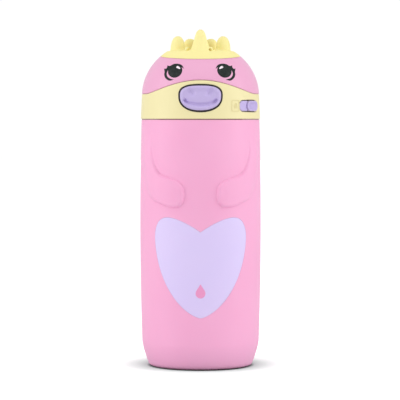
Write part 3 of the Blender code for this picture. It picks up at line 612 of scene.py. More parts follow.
print("widest", BELLY_RADIUS * 2, "mm, seam runs from", SEAM_SIDE, "to", SEAM_SIDE + SEAM_RISE, "mm")

# %% [markdown]
# ## The sleeve
# Soft silicone about three millimetres thick, moulded in one piece and pulled over the flask. Two
# folded arms stand out of it by up to about two millimetres. Their edge is steep where it meets the
# barrel and round on top, and it fades out at the shoulders. The heart sits in a shallow pocket. Both
# shapes start from a signed distance to an outline: one number for each point that says how far inside
# it lies, from which any rounded edge can be worked out.

# %% Distance to an outline, and the arms it gives


def inside_distance(points, outline):
    """How far each point lies inside a closed outline, negative outside."""
    flat = points.reshape(-1, 2)
    nearest = np.full(len(flat), np.inf)
    within = np.zeros(len(flat), bool)
    for a, b in zip(outline, np.roll(outline, -1, 0)):
        side = b - a
        if not side.any():
            continue
        share = np.clip((flat - a) @ side / (side @ side), 0, 1)
        nearest = np.minimum(nearest, np.hypot(*(flat - a - share[:, None] * side).T))
        if side[1]:
            spans = (a[1] > flat[:, 1]) != (b[1] > flat[:, 1])
            within ^= spans & (flat[:, 0] < a[0] + side[0] * (flat[:, 1] - a[1]) / side[1])
    return np.where(within, nearest, -nearest).reshape(points.shape[:-1])


def round_drop(depth, radius):
    """How much lower a rounded edge of this radius is, at a depth inside its outline."""
    return radius * (1 - np.sqrt(1 - (1 - np.clip(depth / radius, 0, 1)) ** 2))


ARM_OUTLINE = np.array([  # degrees from the front, height
    (54.9, 144.0), (54.1, 133.1), (51.9, 126.2), (47.4, 120.5), (40.8, 116.3), (32.4, 114.5), (24.8, 113.0),
    (19.3, 111.1), (16.3, 108.5), (15.4, 104.2), (16.3, 100.1), (19.3, 97.5), (23.8, 96.7), (32.4, 97.2),
    (40.8, 99.0), (51.9, 101.6), (59.5, 106.6), (66.0, 114.5), (69.7, 124.3), (71.0, 144.0)])
ARM_RISE = 1.8


def arm_height(angle, z):
    """How far the arms stand out of the barrel."""
    flat_outline = smooth_line(ARM_OUTLINE * (radians(BELLY_RADIUS), 1), closed=True, per_span=5)
    depth = inside_distance(np.stack(np.broadcast_arrays(np.abs(angle) * BELLY_RADIUS, z), -1), flat_outline)
    outer_arm = ease(radians(44), radians(60), np.abs(angle))
    edge = 1 - round_drop(np.maximum(depth, 0) / (1.9 + 3.6 * outer_arm), 1)
    rise = ARM_RISE * edge * (1 - 0.35 * outer_arm) + 0.35 * ease(0, 8, depth)
    return rise * (1 - ease(126, 143, z))


# %% Sleeve, with a floor and a hollow for the flask
BORE, BORE_ROUND, FLOOR, RIM_ROUND = 33.7, 9, 2.0, 0.35
arm_side = np.linspace(12, 76, 92)
columns = np.radians(np.concatenate([
    np.linspace(-12, 12, 27), arm_side[1:], np.linspace(76, 284, 76)[1:-1], 360 - arm_side[:0:-1]]))[:, None]
heel_rows = HEEL_CORNER * (1 - np.cos(np.linspace(0, pi / 2, 8)))
side_rows = np.concatenate([
    heel_rows, np.linspace(2, HEEL_HEIGHT, 12), np.linspace(HEEL_HEIGHT, 94, 28)[1:],
    np.arange(94.45, 138, 0.45), np.linspace(138.4, SLEEVE_TOP - 0.8, 8)])
signed = (columns + pi) % tau - pi
turn = np.linspace(0, pi / 2, 6)
inwards, down = 1 - np.cos(turn), 1 - np.sin(turn)
hollow_r = np.concatenate([[BORE + 0.3], [BORE] * 4, BORE - BORE_ROUND * inwards, [0]])
hollow_z = np.concatenate([
    [SLEEVE_TOP, SLEEVE_TOP - 0.3, 110, 70, 30], FLOOR + BORE_ROUND * down, [FLOOR]])
sleeve = skin("sleeve", np.concatenate([
    on_turn(0, columns, np.zeros(1)),
    on_turn(barrel_radius(side_rows) + arm_height(signed, side_rows), columns, side_rows),
    on_turn(barrel_radius(SLEEVE_TOP) - RIM_ROUND * inwards, columns, SLEEVE_TOP - RIM_ROUND * down),
    on_turn(hollow_r, columns, hollow_z)], 1), loop_rows=False)
print("sleeve grid:", len(columns), "columns")

# %% Heart, and the pocket it sits in
HEART_HALF, HEART_WIDEST, INLAY_DEPTH, HEART_GROOVE = radians(47.8), 79.1, 0.8, 0.05
HEART_TIP, HEART_NOTCH, LOBE_RISE, LOBE_FALL = 47.7, 3.1, 21.5, 11.8


def heart_slab(name, grow, front, back, rounding):
    """The heart as a curved slab between two depths under the sleeve's surface, its front edge rounded."""
    reach = HEART_HALF + grow / BELLY_RADIUS
    angle = (reach * np.sin(np.linspace(-pi / 2, pi / 2, 121)))[:, None]
    u = np.minimum(np.abs(angle) / reach, 1)
    low = HEART_WIDEST - (HEART_TIP + grow) * (1 - u**1.5) ** 0.56
    high = HEART_WIDEST + (HEART_NOTCH + grow + LOBE_RISE * u - LOBE_FALL * u**2) * np.sqrt(1 - u**6)
    z = low + (high - low) * (0.5 - 0.5 * np.cos(np.linspace(0, pi, 33)))
    edges = [np.concatenate([angle * BELLY_RADIUS, edge], 1) for edge in (low, high)]
    spots = np.stack(np.broadcast_arrays(angle * BELLY_RADIUS, z), -1)
    depth = np.maximum(inside_distance(spots, np.concatenate([edges[0], edges[1][::-1]])), 0)
    face = on_turn(barrel_radius(z) - front - round_drop(depth, rounding), angle, z)
    rear = on_turn(barrel_radius(z) - back, angle, z)
    return skin(name, np.concatenate([face, rear[:, ::-1]], 1), loop_columns=False)


cut(sleeve, heart_slab("pocket", HEART_GROOVE, -2, INLAY_DEPTH + 0.1, 0.001))
dress(sleeve, sleeve_silicone, "bottle", "sleeve_pink", "silicone_sleeve")
heart = heart_slab("heart", 0.0, 0.0, INLAY_DEPTH, 0.12)
dress(heart, heart_silicone, "bottle", "lavender", "belly_inlay")

# %% [markdown]
# ## Printed marks
# The eyes and the small drop on the heart are pad printed: ink a few hundredths of a millimetre thick
# that follows the surface. A decal image could do it, but an outline cut out of a thin skin stays sharp
# at any size. The skin is made over the surface first, and a prism of the outline then keeps only the
# part inside it.

# %% Solids from rings, and films from outlines


def stacked(name, rings):
    """A closed solid through rings of points in order, with a flat face at each end."""
    rings = np.asarray(rings, float)
    count, size = rings.shape[:2]
    ends = [list(range(size)), list(range((count - 1) * size, count * size))]
    return make_piece(name, rings, grid_faces(count, size, loop_columns=False) + ends)


def plate(outline, x0, x1):
    """An outline in Y and Z, extruded along X."""
    return stacked("plate", [[(x, y, z) for y, z in outline] for x in (x0, x1)])


def prism(outline, y0, y1):
    """An outline in X and Z, extruded along Y."""
    return stacked("prism", [[(x, y, z) for x, z in outline] for y in (y0, y1)])


def box_outline(left, bottom, right, top):
    return [(left, bottom), (right, bottom), (right, top), (left, top)]


def block(low, high):
    return prism(box_outline(low[0], low[2], high[0], high[2]), low[1], high[1])


def swept(name, section, start, end, steps):
    """A section in radius and height, swept round the bottle between two angles in degrees."""
    angles = np.radians(np.linspace(start, end, steps))
    return stacked(name, [[on_turn(r, a, z) for r, z in section] for a in angles])


def rod(centre, radius, length, direction, sides=48):
    around = np.linspace(0, tau, sides, endpoint=False)
    side = np.array(Vector(direction).orthogonal().normalized())
    ring = radius * (np.outer(np.cos(around), side) + np.outer(np.sin(around), np.cross(direction, side)))
    ends = [np.add(centre, np.multiply(direction, length * end)) for end in (-0.5, 0.5)]
    return stacked("rod", [end + ring for end in ends])


FRONT_DEPTH = (-60, -10)


def film(name, outline, radius_at, proud, sunk=0.06):
    """A film over a turned surface, inside an outline in X and Z as seen from the front."""
    outline = np.asarray(outline, float)
    low, high = outline.min(0) - 0.4, outline.max(0) + 0.4
    x, z = np.linspace(low[0], high[0], 34)[:, None], np.linspace(low[1], high[1], 34)
    lift = np.where((x > low[0]) & (x < high[0]), proud, -sunk)
    sheets = []
    for offset in (lift, np.full_like(x, -sunk)):
        y = -np.sqrt((radius_at(z) + offset) ** 2 - x**2)
        sheets.append(np.stack(np.broadcast_arrays(x, y, z), -1))
    piece = skin(name, np.concatenate([sheets[0], sheets[1][:, ::-1]], 1), loop_columns=False)
    return combine(piece, prism(outline, *FRONT_DEPTH), "INTERSECT")


def outline_of(*runs):
    """A closed outline of smooth runs that meet in sharp points."""
    return np.concatenate([smooth_line(run)[:-1] for run in runs])


# %% Drop on the heart
MARK_HEIGHT = 47.2
drop_side = [(0, 4.4), (1.1, 2.6), (2.4, 0.6), (2.9, -1.3), (2.0, -3.2), (0, -4.0)]
drop = outline_of(drop_side + [(-x, z) for x, z in drop_side[-2::-1]]) + (0, MARK_HEIGHT)
drop_mark = film("drop_mark", drop, barrel_radius, 0.05)
dress(drop_mark, mark_ink, "bottle", "sleeve_pink")

# %% [markdown]
# ## The lid's collar
# A moulded ring in lemon plastic, which sits on a thin brown ring: painted shade, a dark part that stands
# for the shadow in the gap above the sleeve. Its upper edge waves up over the snout, and it carries the
# button's hole, the lock's slot and two of the four hinge knuckles. The ring is a grid again. The openings
# are cut with tools that flare outwards, so their edges come out softened, as an injection mould leaves
# them. Behind the slot it is hollowed out for the lock's plate, and thinner still where the lock's tail
# slides in.

# %% Snout outline, lock slot and collar
SNOUT_HEIGHT, SNOUT_HALF_WIDTH, SNOUT_UP, SNOUT_DOWN = 162.35, 13.1, 7.05, 9.5
LOCK_HEIGHT, SLOT_ANGLE, SLOT_HALF, SLOT_HALF_HEIGHT = 156.55, radians(55.3), radians(15.4), 3.45
HINGE = np.array([0, 38.2, 165.0])
PIN_RADIUS, PIN_HOLE, KNUCKLE_RADIUS, ALONG_X = 1.1, 1.4, 2.8, (1, 0, 0)


def snout_outline(grow, sides=144):
    """The snout's rounded outline in X and Z, flatter on top, grown outwards by grow."""
    a = np.linspace(0, tau, sides, endpoint=False)
    c, s = np.cos(a), np.sin(a)
    power = np.where(s > 0, 2 / 2.8, 2 / 2.3)
    half = np.where(s > 0, SNOUT_UP, SNOUT_DOWN) + grow
    x = (SNOUT_HALF_WIDTH + grow) * np.sign(c) * np.abs(c) ** power
    return np.stack([x, SNOUT_HEIGHT + half * np.sign(s) * np.abs(s) ** power], -1)


def stadium(centre, half_angle, half_height, radius, steps=16):
    """A slot with round ends, laid round the bottle at a radius."""
    end = half_height / HEAD_BASE
    a = np.linspace(-pi / 2, pi / 2, steps + 1)
    angle = np.concatenate([centre + side * (half_angle - end + end * np.cos(a)) for side in (1, -1)])
    z = np.concatenate([LOCK_HEIGHT + side * half_height * np.sin(a) for side in (1, -1)])
    return on_turn(radius, angle, z)


def knuckles(piece, outline, near, far):
    """Adds two hinge knuckles, each a barrel on an arm, and bores them for the pin."""
    outline = round_corners(outline, 0.8, closed=True)
    for x0, x1 in ((near, far), (-far, -near)):
        join(piece, rod(((x0 + x1) / 2, HINGE[1], HINGE[2]), KNUCKLE_RADIUS, x1 - x0, ALONG_X))
        join(piece, plate(outline, x0 + 0.01, x1 - 0.01))
    cut(piece, rod(HINGE, PIN_HOLE, 40, ALONG_X))


def wall_ring(top, top_round, bottom, bottom_round, wall, rows):
    """Radius and height round a ring's wall, outside then inside, with rounded outer edges."""
    bend = np.linspace(0, pi / 2, 5)
    up = top[:, None] - top_round * (1 - np.sin(bend))
    down = bottom + bottom_round * (1 - np.sin(bend[::-1]))
    tall = top[:, None] - top_round - bottom - bottom_round
    side = (bottom + bottom_round) + tall * np.linspace(0, 1, rows)[1:-1]
    z = np.concatenate([np.broadcast_to(down, (len(top), 5)), side, up], 1)
    inwards = 1 - np.cos(bend)
    drop = np.concatenate([bottom_round * inwards[::-1], np.zeros(rows - 2), top_round * inwards])
    inside = z[:, ::6]
    return (np.concatenate([head_radius(z) - drop, head_radius(inside)[:, ::-1] - wall], 1),
            np.concatenate([z, inside[:, ::-1]], 1))


TOP_ROUND, FOOT_ROUND, COLLAR_WALL, COLLAR_ROWS = 0.3, 0.25, 1.6, 16
columns = np.linspace(0, tau, 240, endpoint=False)
collar_top = seam_height(columns) - SEAM_GAP / 2
ring_r, ring_z = wall_ring(collar_top, TOP_ROUND, COLLAR_FOOT, FOOT_ROUND, COLLAR_WALL, COLLAR_ROWS)
collar = skin("collar", on_turn(ring_r, columns[:, None], ring_z))
# Each tool's depth, and how far its outline is grown there.
flare = [(-45, 3.0), (-37.5, 1.0), (-35.4, 0.1), (-34.4, 0.0), (-25, 0.0)]
cut(collar, stacked("hole", [np.insert(snout_outline(grow), 1, y, axis=1) for y, grow in flare]))
slot_flare = [(30, 0), (35.0, 0), (35.5, 0.12), (36.0, 0.4), (42, 0.4)]
cut(collar, stacked("slot", [
    stadium(SLOT_ANGLE, SLOT_HALF + grow / HEAD_BASE, SLOT_HALF_HEIGHT + grow, r)
    for r, grow in slot_flare]))
tail_room = [(31, 153.3), (35.5, 153.3), (35.45, 159.0), (35.4, 159.8), (31, 159.8)]
cut(collar, swept("plate_room", box_outline(31, 151.2, 34.6, 162.7), 27, 87, 31))
cut(collar, swept("tail_room", tail_room, 29.5, 46, 31))
arm = [(34.6, 157.5), (36, 157.9), (40.2, 163), (38.2, 165), (35.7, 163.4), (34.6, 163.3)]
knuckles(collar, arm, 3.4, 7.3)
dress(collar, collar_plastic, "lid", "lemon", "lid_collar")
# Painted shade: this brown ring makes the gap between collar and sleeve read as a dark line.
gap_shade_section = round_corners(box_outline(33.95, 148.45, 35.35, 148.87), 0.1, closed=True)
gap_shade_ring = turned("gap_shade_ring", gap_shade_section, 240)
dress(gap_shade_ring, gap_shade_brown, "lid", "black_silicone")

# %% Padlock sign, raised on a low panel beside the slot
SIGN_ANGLE = radians(36)
sign_place = (head_radius(LOCK_HEIGHT) * sin(SIGN_ANGLE), LOCK_HEIGHT)
panel = round_corners(box_outline(-2.6, -3.4, 2.2, 3.4), 0.9, closed=True) + sign_place
sign_panel = film("sign_panel", panel, head_radius, 0.2)
inner = round_corners(box_outline(-2.2, -3.0, 1.8, 3.0), 0.7, closed=True) + sign_place
cut(sign_panel, prism(inner, *FRONT_DEPTH))
dress(sign_panel, sign_plastic, "lid", "lemon")
body = round_corners(box_outline(-0.95, -1.5, 0.95, 0.2), 0.25, closed=True)
arch = [(0.62, 0.1), (0.62, 0.9), (0.44, 1.35), (0, 1.55), (-0.44, 1.35), (-0.62, 0.9), (-0.62, 0.1)]
hoop = arch + [(x * 0.55, z - 0.2 * (z > 0.5)) for x, z in arch[::-1]]
padlock = film("padlock", body + sign_place, head_radius, 0.25)
join(padlock, film("hoop", np.array(hoop) + sign_place, head_radius, 0.25))
dress(padlock, sign_plastic, "lid", "lemon")

# %% [markdown]
# ## Snout button and lock
# The button's face is one smooth relief: a rounded rim, a shallow dish with a low swell in its middle,
# two nostrils and a smile. Each is a height that depends on the distance to a line or to a point, and
# their sum is subtracted from a cylinder. A thin black wiper sits in the gap round it: painted shade that
# makes the gap read dark. The lock is a slider behind the collar: a flat tail fills one half of its slot
# and a dished knob stands out of the other. A black sheet on the slider's plate is painted shade that
# makes the gap round them look deep.

# %% Button with its relief
BUTTON_FACE = 36.9
CENTRE = np.array([0, SNOUT_HEIGHT])


def ellipse(centre, half_long, half_short, tilt, sides=48):
    a = np.linspace(0, tau, sides, endpoint=False)
    x, z = half_long * np.cos(a), half_short * np.sin(a)
    c, s = cos(radians(tilt)), sin(radians(tilt))
    return np.stack([x * c - z * s, x * s + z * c], -1) + centre


def relief(spots, outline):
    """How far the button's face lies behind the cylinder at each spot."""
    depth = np.maximum(inside_distance(spots, outline), 0)
    fall = round_drop(depth, 1.3) + 0.55 * ease(1.3, 3.4, depth)
    half_smile = [(9.1, 159.7), (7.6, 158.6), (4, 157.6)]
    smile = smooth_line([(-x, z) for x, z in half_smile] + [(0, 157.3)] + half_smile[::-1])
    to_smile = -inside_distance(spots, np.concatenate([smile, smile[::-1]]))
    fall += (1.2 + 0.9 * ease(6, 9, np.abs(spots[..., 0]))) * np.exp(-((to_smile / 0.95) ** 2))
    fall -= 0.55 * np.exp(-((np.hypot(spots[..., 0] / 1.6, spots[..., 1] - 160.6) / 3.2) ** 2))
    for side in (-1, 1):
        nostril = ellipse((side * 5.3, 164.7), 2.1, 0.9, side * 52)
        fall += 1.0 * ease(-1.6, 0.8, inside_distance(spots, nostril))
    return fall


button_edge = snout_outline(-1.0)
shares = np.concatenate([1 - 0.09 * (1 - np.cos(np.linspace(0, pi / 2, 9))), np.linspace(0.9, 0.02, 38)])
spots = CENTRE + (button_edge - CENTRE) * shares[:, None, None]
face = np.sqrt(BUTTON_FACE**2 - spots[..., 0] ** 2) - relief(spots, button_edge)
rings = np.stack([spots[..., 0], -face, spots[..., 1]], -1)
back = np.insert(button_edge, 1, -31.4, axis=1)
button = stacked("snout_face", [back, *rings])
# An arm and a flange for the spring on each side, room for the cover's tongue, and the bar that it catches.
for side in (1, -1):
    low_x, high_x = sorted((side * 6.7, side * 10))
    join(button, block((low_x, -32.4, 157), (high_x, -29.5, 163.4)))
    low_x, high_x = sorted((side * 9.5, side * 13.8))
    join(button, block((low_x, -30.5, 157.2), (high_x, -29.45, 163.2)))
cut(button, block((-6.4, -34.3, 155), (6.4, -25, 175)))
join(button, block((-7.2, -30.4, 157.6), (7.2, -29.4, 161)))
dress(button, button_plastic, "button", "button_lavender", "snout_button")

# %% Black wiper round the button, painted shade in its gap
section = [(34.2, -0.05), (35.1, -0.05), (35.3, -0.2), (35.3, -0.75), (35.1, -0.92), (34.2, -0.92)]
lip = []
for r, grow in section:
    edge = snout_outline(grow)
    lip.append(np.stack([edge[:, 0], -np.sqrt(r**2 - edge[:, 0] ** 2), edge[:, 1]], -1))
button_gap_shade = skin("button_gap_shade", np.stack(lip))
dress(button_gap_shade, gap_shade_black, "lid", "black_silicone", "button_wiper")

# %% Lock slider with tail and dished knob
KNOB_HALF, KNOB_HALF_HEIGHT = radians(9.7), 3.05
knob_centre = SLOT_ANGLE + SLOT_HALF - KNOB_HALF - radians(0.5)
tail_centre = SLOT_ANGLE - SLOT_HALF + radians(7.9)
slider = swept("slider", box_outline(33.2, 151.6, 34.3, 162.3), 40, 83, 44)


def lock_solid(name, centre, half_angle, steps):
    """A rounded solid that fits the slot, through (radius, inset) steps from its back to its face."""
    return stacked(name, [
        stadium(centre, half_angle - inset / HEAD_BASE, KNOB_HALF_HEIGHT - inset, r) for r, inset in steps])


tail = lock_solid("tail", tail_centre, radians(7.5), (
    (33.8, 0), (35.1, 0), (35.3, 0.08), (35.38, 0.25), (35.4, 0.9), (35.4, 2.0)))
cut(tail, lock_solid("around_knob", knob_centre, KNOB_HALF, ((32.0, -0.35), (40.0, -0.35))))
join(slider, tail)
join(slider, lock_solid("knob", knob_centre, KNOB_HALF, (
    (33.7, 0), (36.0, 0), (36.25, 0.08), (36.4, 0.25), (36.45, 0.5), (36.35, 0.8), (36.0, 1.2), (35.6, 1.7),
    (35.45, 2.2), (35.4, 2.8))))
dress(slider, lock_plastic, "lock", "button_lavender", "lock_slider")
# Painted shade: a black sheet behind the slot makes the gap round tail and knob look deep.
slot_shade_sheet = swept("lock_slot_shade", box_outline(34.2, 151.8, 34.5, 162.1), 40.2, 82.8, 44)
dress(slot_shade_sheet, gap_shade_black, "lock", "black_silicone")

# %% [markdown]
# ## The flip cover
# The pink dome is a shell about three millimetres thick, and thinner at its lower edge. It is stepped
# in near the top, where the crest is let in flush. The lower edge is rounded over, and its thin shadow
# line is most of what separates it from the collar by eye. Inside it a white liner carries the tongue
# that latches behind the button, and the post whose soft pad shuts the spout.

# %% Cover shell
CREST_EDGE, CREST_TILT, CREST_THICKNESS, CROWN_FLOOR = 186.9, 0.10, 1.6, 188.2
COVER_WALL, LIP_WALL, CREST_STEP, LIP_ROUND, STEP_ROUND = 3.1, 1.8, 1.9, 0.55, 0.35


def crest_edge(angle, shift):
    """Height where the tilted edge of the crest meets the dome."""
    z = np.full(np.shape(angle), CREST_EDGE + shift)
    for _ in range(6):
        z = CREST_EDGE + shift - CREST_TILT * head_radius(z) * np.cos(angle)
    return z


def domed(name, rows):
    """A piece from rows of (radius, height), each one value or one for every column, from axis to axis."""
    def filled(part):
        return np.broadcast_to(np.asarray(part, float), (len(columns), np.shape(part)[-1]))
    radius, height = (np.concatenate([filled(part) for part in parts], 1) for parts in zip(*rows))
    return skin(name, on_turn(radius, columns[:, None], height), loop_rows=False)


def on_axis(z):
    return [0.0], [z]


def downwards(line):
    return line[0][..., ::-1], line[1][..., ::-1]


bottom = seam_height(columns) + SEAM_GAP / 2
edge = crest_edge(columns, -0.03)
bend = np.linspace(0, pi / 2, 5)
inwards, down = 1 - np.cos(bend), 1 - np.sin(bend)
low_lip = (head_radius(bottom)[:, None] - LIP_ROUND * inwards, bottom[:, None] + LIP_ROUND * down)
top_r = head_radius(edge)[:, None] - STEP_ROUND * inwards[::-1] * 1.4
top_lip = (top_r, edge[:, None] - STEP_ROUND * down[::-1])
inner_lip = (head_radius(bottom)[:, None] - LIP_WALL, bottom[:, None] + 0.05)
cover = domed("cover_dome", [
    on_axis(CROWN_FLOOR + 0.3),
    downwards(dome_line(edge - 0.9, CROWN_FLOOR, CREST_STEP, 5)),
    top_lip,
    downwards(dome_line(bottom + 0.6, edge - 0.4, 0, 30)),
    low_lip,
    inner_lip,
    dome_line(bottom + 6, CROWN_FLOOR - 1.5, COVER_WALL, 14),
    on_axis(CROWN_FLOOR - 1.2),
])
ear = [(34.2, 164.4), (35.7, 164.4), (38.2, 165), (40.3, 166.7), (35.6, 171), (33, 171.5), (32.6, 169)]
knuckles(cover, ear, 7.6, 12)
dress(cover, cover_plastic, "cover", "head_pink", "cover_shell")

# %% Eyes, printed in four inks
EYE_HEIGHT, EYE_OUT = 177.1, {-1: 15.0, 1: 14.1}
lid_outer = [(-5.17, 1.25), (-4.45, 2.91), (-3.09, 3.98), (-1.01, 4.39), (1.01, 4.16), (2.73, 3.21)]
low_lid = [(6.65, 1.6), (6.29, -0.36), (6.47, -1.9), (6, -3.74), (4.63, -5.15), (3, -5.7), (0.77, -5.05)]
inside_lid = [(0.77, -5.05), (2.5, -4.65), (3.72, -4.05), (4.68, -2.95), (5, -1.5), (4.45, 0.1),
              (3, 1.9), (1.84, 3), (-0.5, 3.6), (-3.27, 2.6), (-5.17, 1.25)]
lash_tips = [[(2.73, 3.21), (3.6, 3.1), (4.63, 3.5)], [(4.63, 3.5), (4.75, 2.4), (5.2, 1.6)],
             [(5.2, 1.6), (5.9, 1.45), (6.65, 1.6)]]
lash = outline_of(lid_outer, *lash_tips, low_lid, inside_lid)
highlight = [(-1.01, 2.73), (-1.7, 2.97), (-2.97, 1.84), (-2.73, 1.13), (-0.77, 2.02)]
inks = (
    ("lash", lash, 0.05, eye_ink),
    ("pupil_rim", ellipse((0, 0.1), 4.4, 3.95, -35), 0.03, eye_ink),
    ("iris", ellipse((0, 0.1), 3.8, 3.3, -35), 0.045, iris_ink),
    ("glint", smooth_line(highlight, closed=True), 0.07, glint_ink),
)
for side, hand in ((-1, "right"), (1, "left")):
    for label, outline, proud, ink in inks:
        placed = (outline + (EYE_OUT[side], 0)) * (side, 1) + (0, EYE_HEIGHT)
        print_film = film(f"{label}_{hand}", placed, head_radius, proud)
        dress(print_film, ink, "cover", "head_pink" if ink is glint_ink else "black_silicone")

# %% White liner, its tongue and its post
rim = np.maximum(seam_height(columns) + 0.8, 166.4) + 1.2
liner = domed("liner", [
    on_axis(CROWN_FLOOR - 2.2),
    downwards(dome_line(rim, CROWN_FLOOR - 2.5, 4.1, 14)),
    dome_line(rim, CROWN_FLOOR - 3.6, 5.3, 14),
    on_axis(CROWN_FLOOR - 3.3),
])
tongue = [(-31.8, 156.4), (-31.8, 166), (-30.4, 171), (-28.7, 175.5), (-27.3, 177.2), (-26.4, 176.6),
          (-27.7, 174), (-29.3, 170.4), (-30.7, 165.5), (-30.7, 157.9), (-30.35, 157.2), (-30.35, 156.4)]
join(liner, plate(round_corners(tongue, 0.4, closed=True), -4.5, 4.5))
join(liner, rod((0, 0, 185.1), 4.5, 3.0, (0, 0, 1)))
dress(liner, inner_plastic, "cover", "white_plastic", "cover_liner")

# %% [markdown]
# ## The crest
# Five rounded horns and two low bumps on a soft cap, with small grooves between them. The real one is
# moulded in rubber, and its horns melt into the cap. Joined cones would meet in hard creases. Voxel
# remeshing turns the joined shape into one even skin, and smoothing that skin then rounds every crease
# by the same amount. The underside is cut afterwards, so it still fits the dome.

# %% Five horns on a cap
FRONT_HORN = ((0, 6.9), (4, 6.3), (6, 5.3), (10.5, 3.85), (13.6, 3.0), (15.4, 2.2), (16.3, 1.3), (16.6, 0.4))
SIDE_HORN = ((0, 4.8), (5, 4.4), (7.6, 4.1), (9.8, 3.5), (11.4, 2.5), (12.2, 1.4), (12.5, 0.5))
LOW_BUMP = ((0, 2.2), (5, 1.9), (6.2, 1.3), (6.8, 0.5))
REAR_HORN = ((0, 5.0), (4, 4.7), (8, 4.0), (10.0, 3.1), (11.0, 2.0), (11.4, 1.0))
BUMP_OUT, BUMP_FOOT = 15.8, 185.0
GROOVE_OUT, GROOVE_HEIGHT, GROOVE_RADIUS, GROOVE_SLOPE = 15.5, 190.1, 0.95, -0.14
SKIN_CELL = 0.33


def horn(foot, lean, profile, deep):
    """A rounded cone from a foot, leaning by so much per millimetre of height."""
    a = np.linspace(0, tau, 32, endpoint=False)
    rings = []
    for h, r in profile:
        ring = np.stack([r * np.cos(a), deep * r * np.sin(a), 0 * a], -1)
        rings.append(np.add(foot, (lean[0] * h, lean[1] * h, h)) + ring)
    return stacked("horn", rings)


crest_low = crest_edge(columns, -2.0)
crest = domed("horned_crest", [
    on_axis(189.7),
    ([10.0, 13.5], [189.8, 190.2]),
    downwards(dome_line(crest_low, 189.6, 0, 8)),
    (head_radius(crest_low)[:, None] - 3.5, crest_low[:, None] - 0.4),
    on_axis(178.0),
])
join(crest, horn((0, -16.2, 185.6), (0, 0.15), FRONT_HORN, 0.85))
for side in (1, -1):
    join(crest, horn((side * 13.7, -4.7, 186.1), (side * -0.01, 0.04), SIDE_HORN, 1.15))
    join(crest, horn((side * 7.0, 11.6, 186.2), (side * -0.06, -0.1), REAR_HORN, 0.9))
for azimuth in (-30, 23):
    out = radians(azimuth)
    join(crest, horn((BUMP_OUT * sin(out), -BUMP_OUT * cos(out), BUMP_FOOT), (0, 0), LOW_BUMP, 1.0))
for azimuth in (-36, -24.5, 18, 28, 108, -108):
    out = Vector((sin(radians(azimuth)), -cos(radians(azimuth)), GROOVE_SLOPE)).normalized()
    cut(crest, rod((out.x * GROOVE_OUT, out.y * GROOVE_OUT, GROOVE_HEIGHT), GROOVE_RADIUS, 10, out))
even = crest.modifiers.new("even_skin", "REMESH")
even.mode = "VOXEL"
even.voxel_size = SKIN_CELL * MM
soften = crest.modifiers.new("soften", "SMOOTH")
soften.factor = 0.5
soften.iterations = 6
crest.data = baked(crest)
crest.modifiers.clear()
seat_side = dome_line(np.full(len(columns), 170.0), CROWN_FLOOR + 0.3, CREST_THICKNESS, 16)
seat = domed("seat", [on_axis(165.0), seat_side, on_axis(CROWN_FLOOR + 0.6)])
below_edge = [(y, CREST_EDGE + y * CREST_TILT + 0.03) for y in (-60, 60)] + [(60, 150), (-60, 150)]
cut(crest, plate(below_edge, -60, 60))
cut(crest, seat)
dress(crest, crest_rubber, "cover", "crest_lemon", "crest")

# %% [markdown]
# ## What shows when the cover is open
# A soft spout stands in the middle of the lid's white deck, with a one-way vent beside it. A steel pin
# carries the hinge, and a torsion spring wound on it throws the cover open. Two small springs push the
# button back. The springs are not attached to a body.

# %% Spout, straw, vent and seal
spout_line = [
    (3.6, 155), (5, 155), (5.2, 161), (7.2, 161.8), (7.2, 163.7), (5.3, 163.7), (5.3, 165.9), (8.5, 165.9),
    (8.5, 167), (5.6, 168.2), (5, 174), (5.8, 178), (5.6, 180.2), (4.6, 181), (2.9, 181), (2.4, 180),
    (2.4, 161.3), (3.6, 161.3)]
spout = turned("spout_soft", round_corners(spout_line, 0.9, closed=True, steps=6), 72)
dress(spout, food_silicone, "lid", "clear_silicone", "spout")
straw = turned("straw_tube", box_outline(2.5, 13, 3.3, 161), 48)
dress(straw, inner_plastic, "lid", "white_plastic", "straw")
vent = turned("vent", [
    (0, 161.2), (1.2, 161.2), (2.6, 163.6), (1.6, 163.7), (1.6, 165.9), (4.2, 165.9), (4.1, 166.2),
    (3.6, 166.75), (2.0, 167.1), (0, 167.2)], 40)
for point in vent.data.vertices:
    point.co += Vector((-14, 4, 0)) * MM
dress(vent, food_silicone, "lid", "clear_silicone", "vent_valve")
pad = turned("seal_pad", [(0, 181.3), (6.6, 181.3), (7.4, 181.5), (7.9, 182), (8, 183.2), (0, 183.3)], 72)
dress(pad, food_silicone, "cover", "clear_silicone", "spout_seal")

# %% Hinge pin and torsion spring
pin = rod(HINGE, PIN_RADIUS, 24.0, ALONG_X)
pin.name = "pin"
for end in (-1, 1):
    join(pin, rod(HINGE + (end * 12.1, 0, 0), 0.85, 0.4, ALONG_X))
dress(pin, wire_steel, "lid", "steel", "hinge_pin")


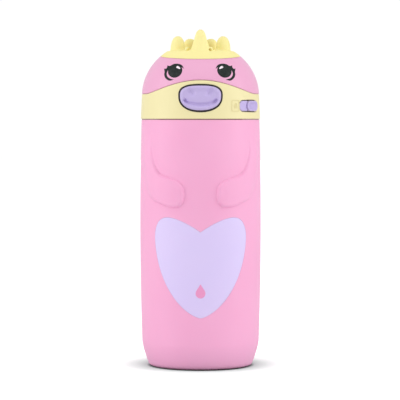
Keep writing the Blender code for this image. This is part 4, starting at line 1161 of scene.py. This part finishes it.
def wire(name, points, radius):
    """A round wire along the points, as a mesh."""
    curve = bpy.data.curves.new(name, "CURVE")
    curve.dimensions = "3D"
    curve.bevel_depth = radius * MM
    curve.bevel_resolution = 3
    curve.use_fill_caps = True
    line = curve.splines.new("POLY")
    line.points.add(len(points) - 1)
    line.points.foreach_set("co", np.insert(np.asarray(points) * MM, 3, 1, axis=1).ravel())
    guide = bpy.data.objects.new("guide", curve)
    scene.collection.objects.link(guide)
    piece = bpy.data.objects.new(name, baked(guide))
    bpy.data.objects.remove(guide)
    scene.collection.objects.link(piece)
    finish_normals(piece)
    return piece


COIL, HALF, TURNS, THICK, THIN = 1.85, 2.7, 5.5, 0.32, 0.22
t = np.linspace(0, 1, 200)
angle = pi + tau * TURNS * t
wound = HINGE + np.stack([HALF * (2 * t - 1), COIL * np.cos(angle), COIL * np.sin(angle)], -1)
legs = [HINGE + (-HALF, -COIL, -6), HINGE + (HALF, COIL - 0.4, 2.4), HINGE + (HALF, -2.1, 6)]
spring = wire("torsion_spring", [legs[0], *wound, legs[1], legs[2]], THICK)
dress(spring, wire_steel, None, "steel", "hinge_spring")
start, end = (tuple((HINGE + (x, 0, 0)) * MM) for x in (-HALF, HALF))
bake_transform(spring)

# %% Springs behind the button
RETURN_COIL, RETURN_TURNS, SPRING_FRONT, SPRING_BACK = 1.6, 3.5, -28.9, -26.4
RETURN_SIDE, RETURN_HEIGHT = 10.2, 160.2
angle = tau * RETURN_TURNS * t
for side, hand in ((-1, "left"), (1, "right")):
    x, y = side * RETURN_SIDE, SPRING_FRONT + (SPRING_BACK - SPRING_FRONT) * t
    coil = np.stack([x + RETURN_COIL * np.cos(angle), y, RETURN_HEIGHT + RETURN_COIL * np.sin(angle)], -1)
    spring = wire(f"return_spring_{hand}", coil, THIN)
    dress(spring, wire_steel, None, "steel", f"button_spring_{hand}")
    start, end = (tuple(Vector((x, edge, RETURN_HEIGHT)) * MM) for edge in (SPRING_FRONT, SPRING_BACK))
    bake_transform(spring)

# %% [markdown]
# ## Parts that keep their own shape
# The flask, the lid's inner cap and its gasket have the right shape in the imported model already, so
# they only take a finish.

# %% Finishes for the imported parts
for name, finish in {
    "outer_shell": flask_steel, "inner_liner": flask_steel, "bottom_cap": flask_steel,
    "getter_capsule": flask_steel, "lid_insert": inner_plastic, "lid_gasket": food_silicone,
}.items():
    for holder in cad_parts[name].material_slots:
        holder.material = finish
    print(name, "->", finish.name)

# %% Print the imported model's box
print("CAD box", cad_box[0] / MM, cad_box[1] / MM)
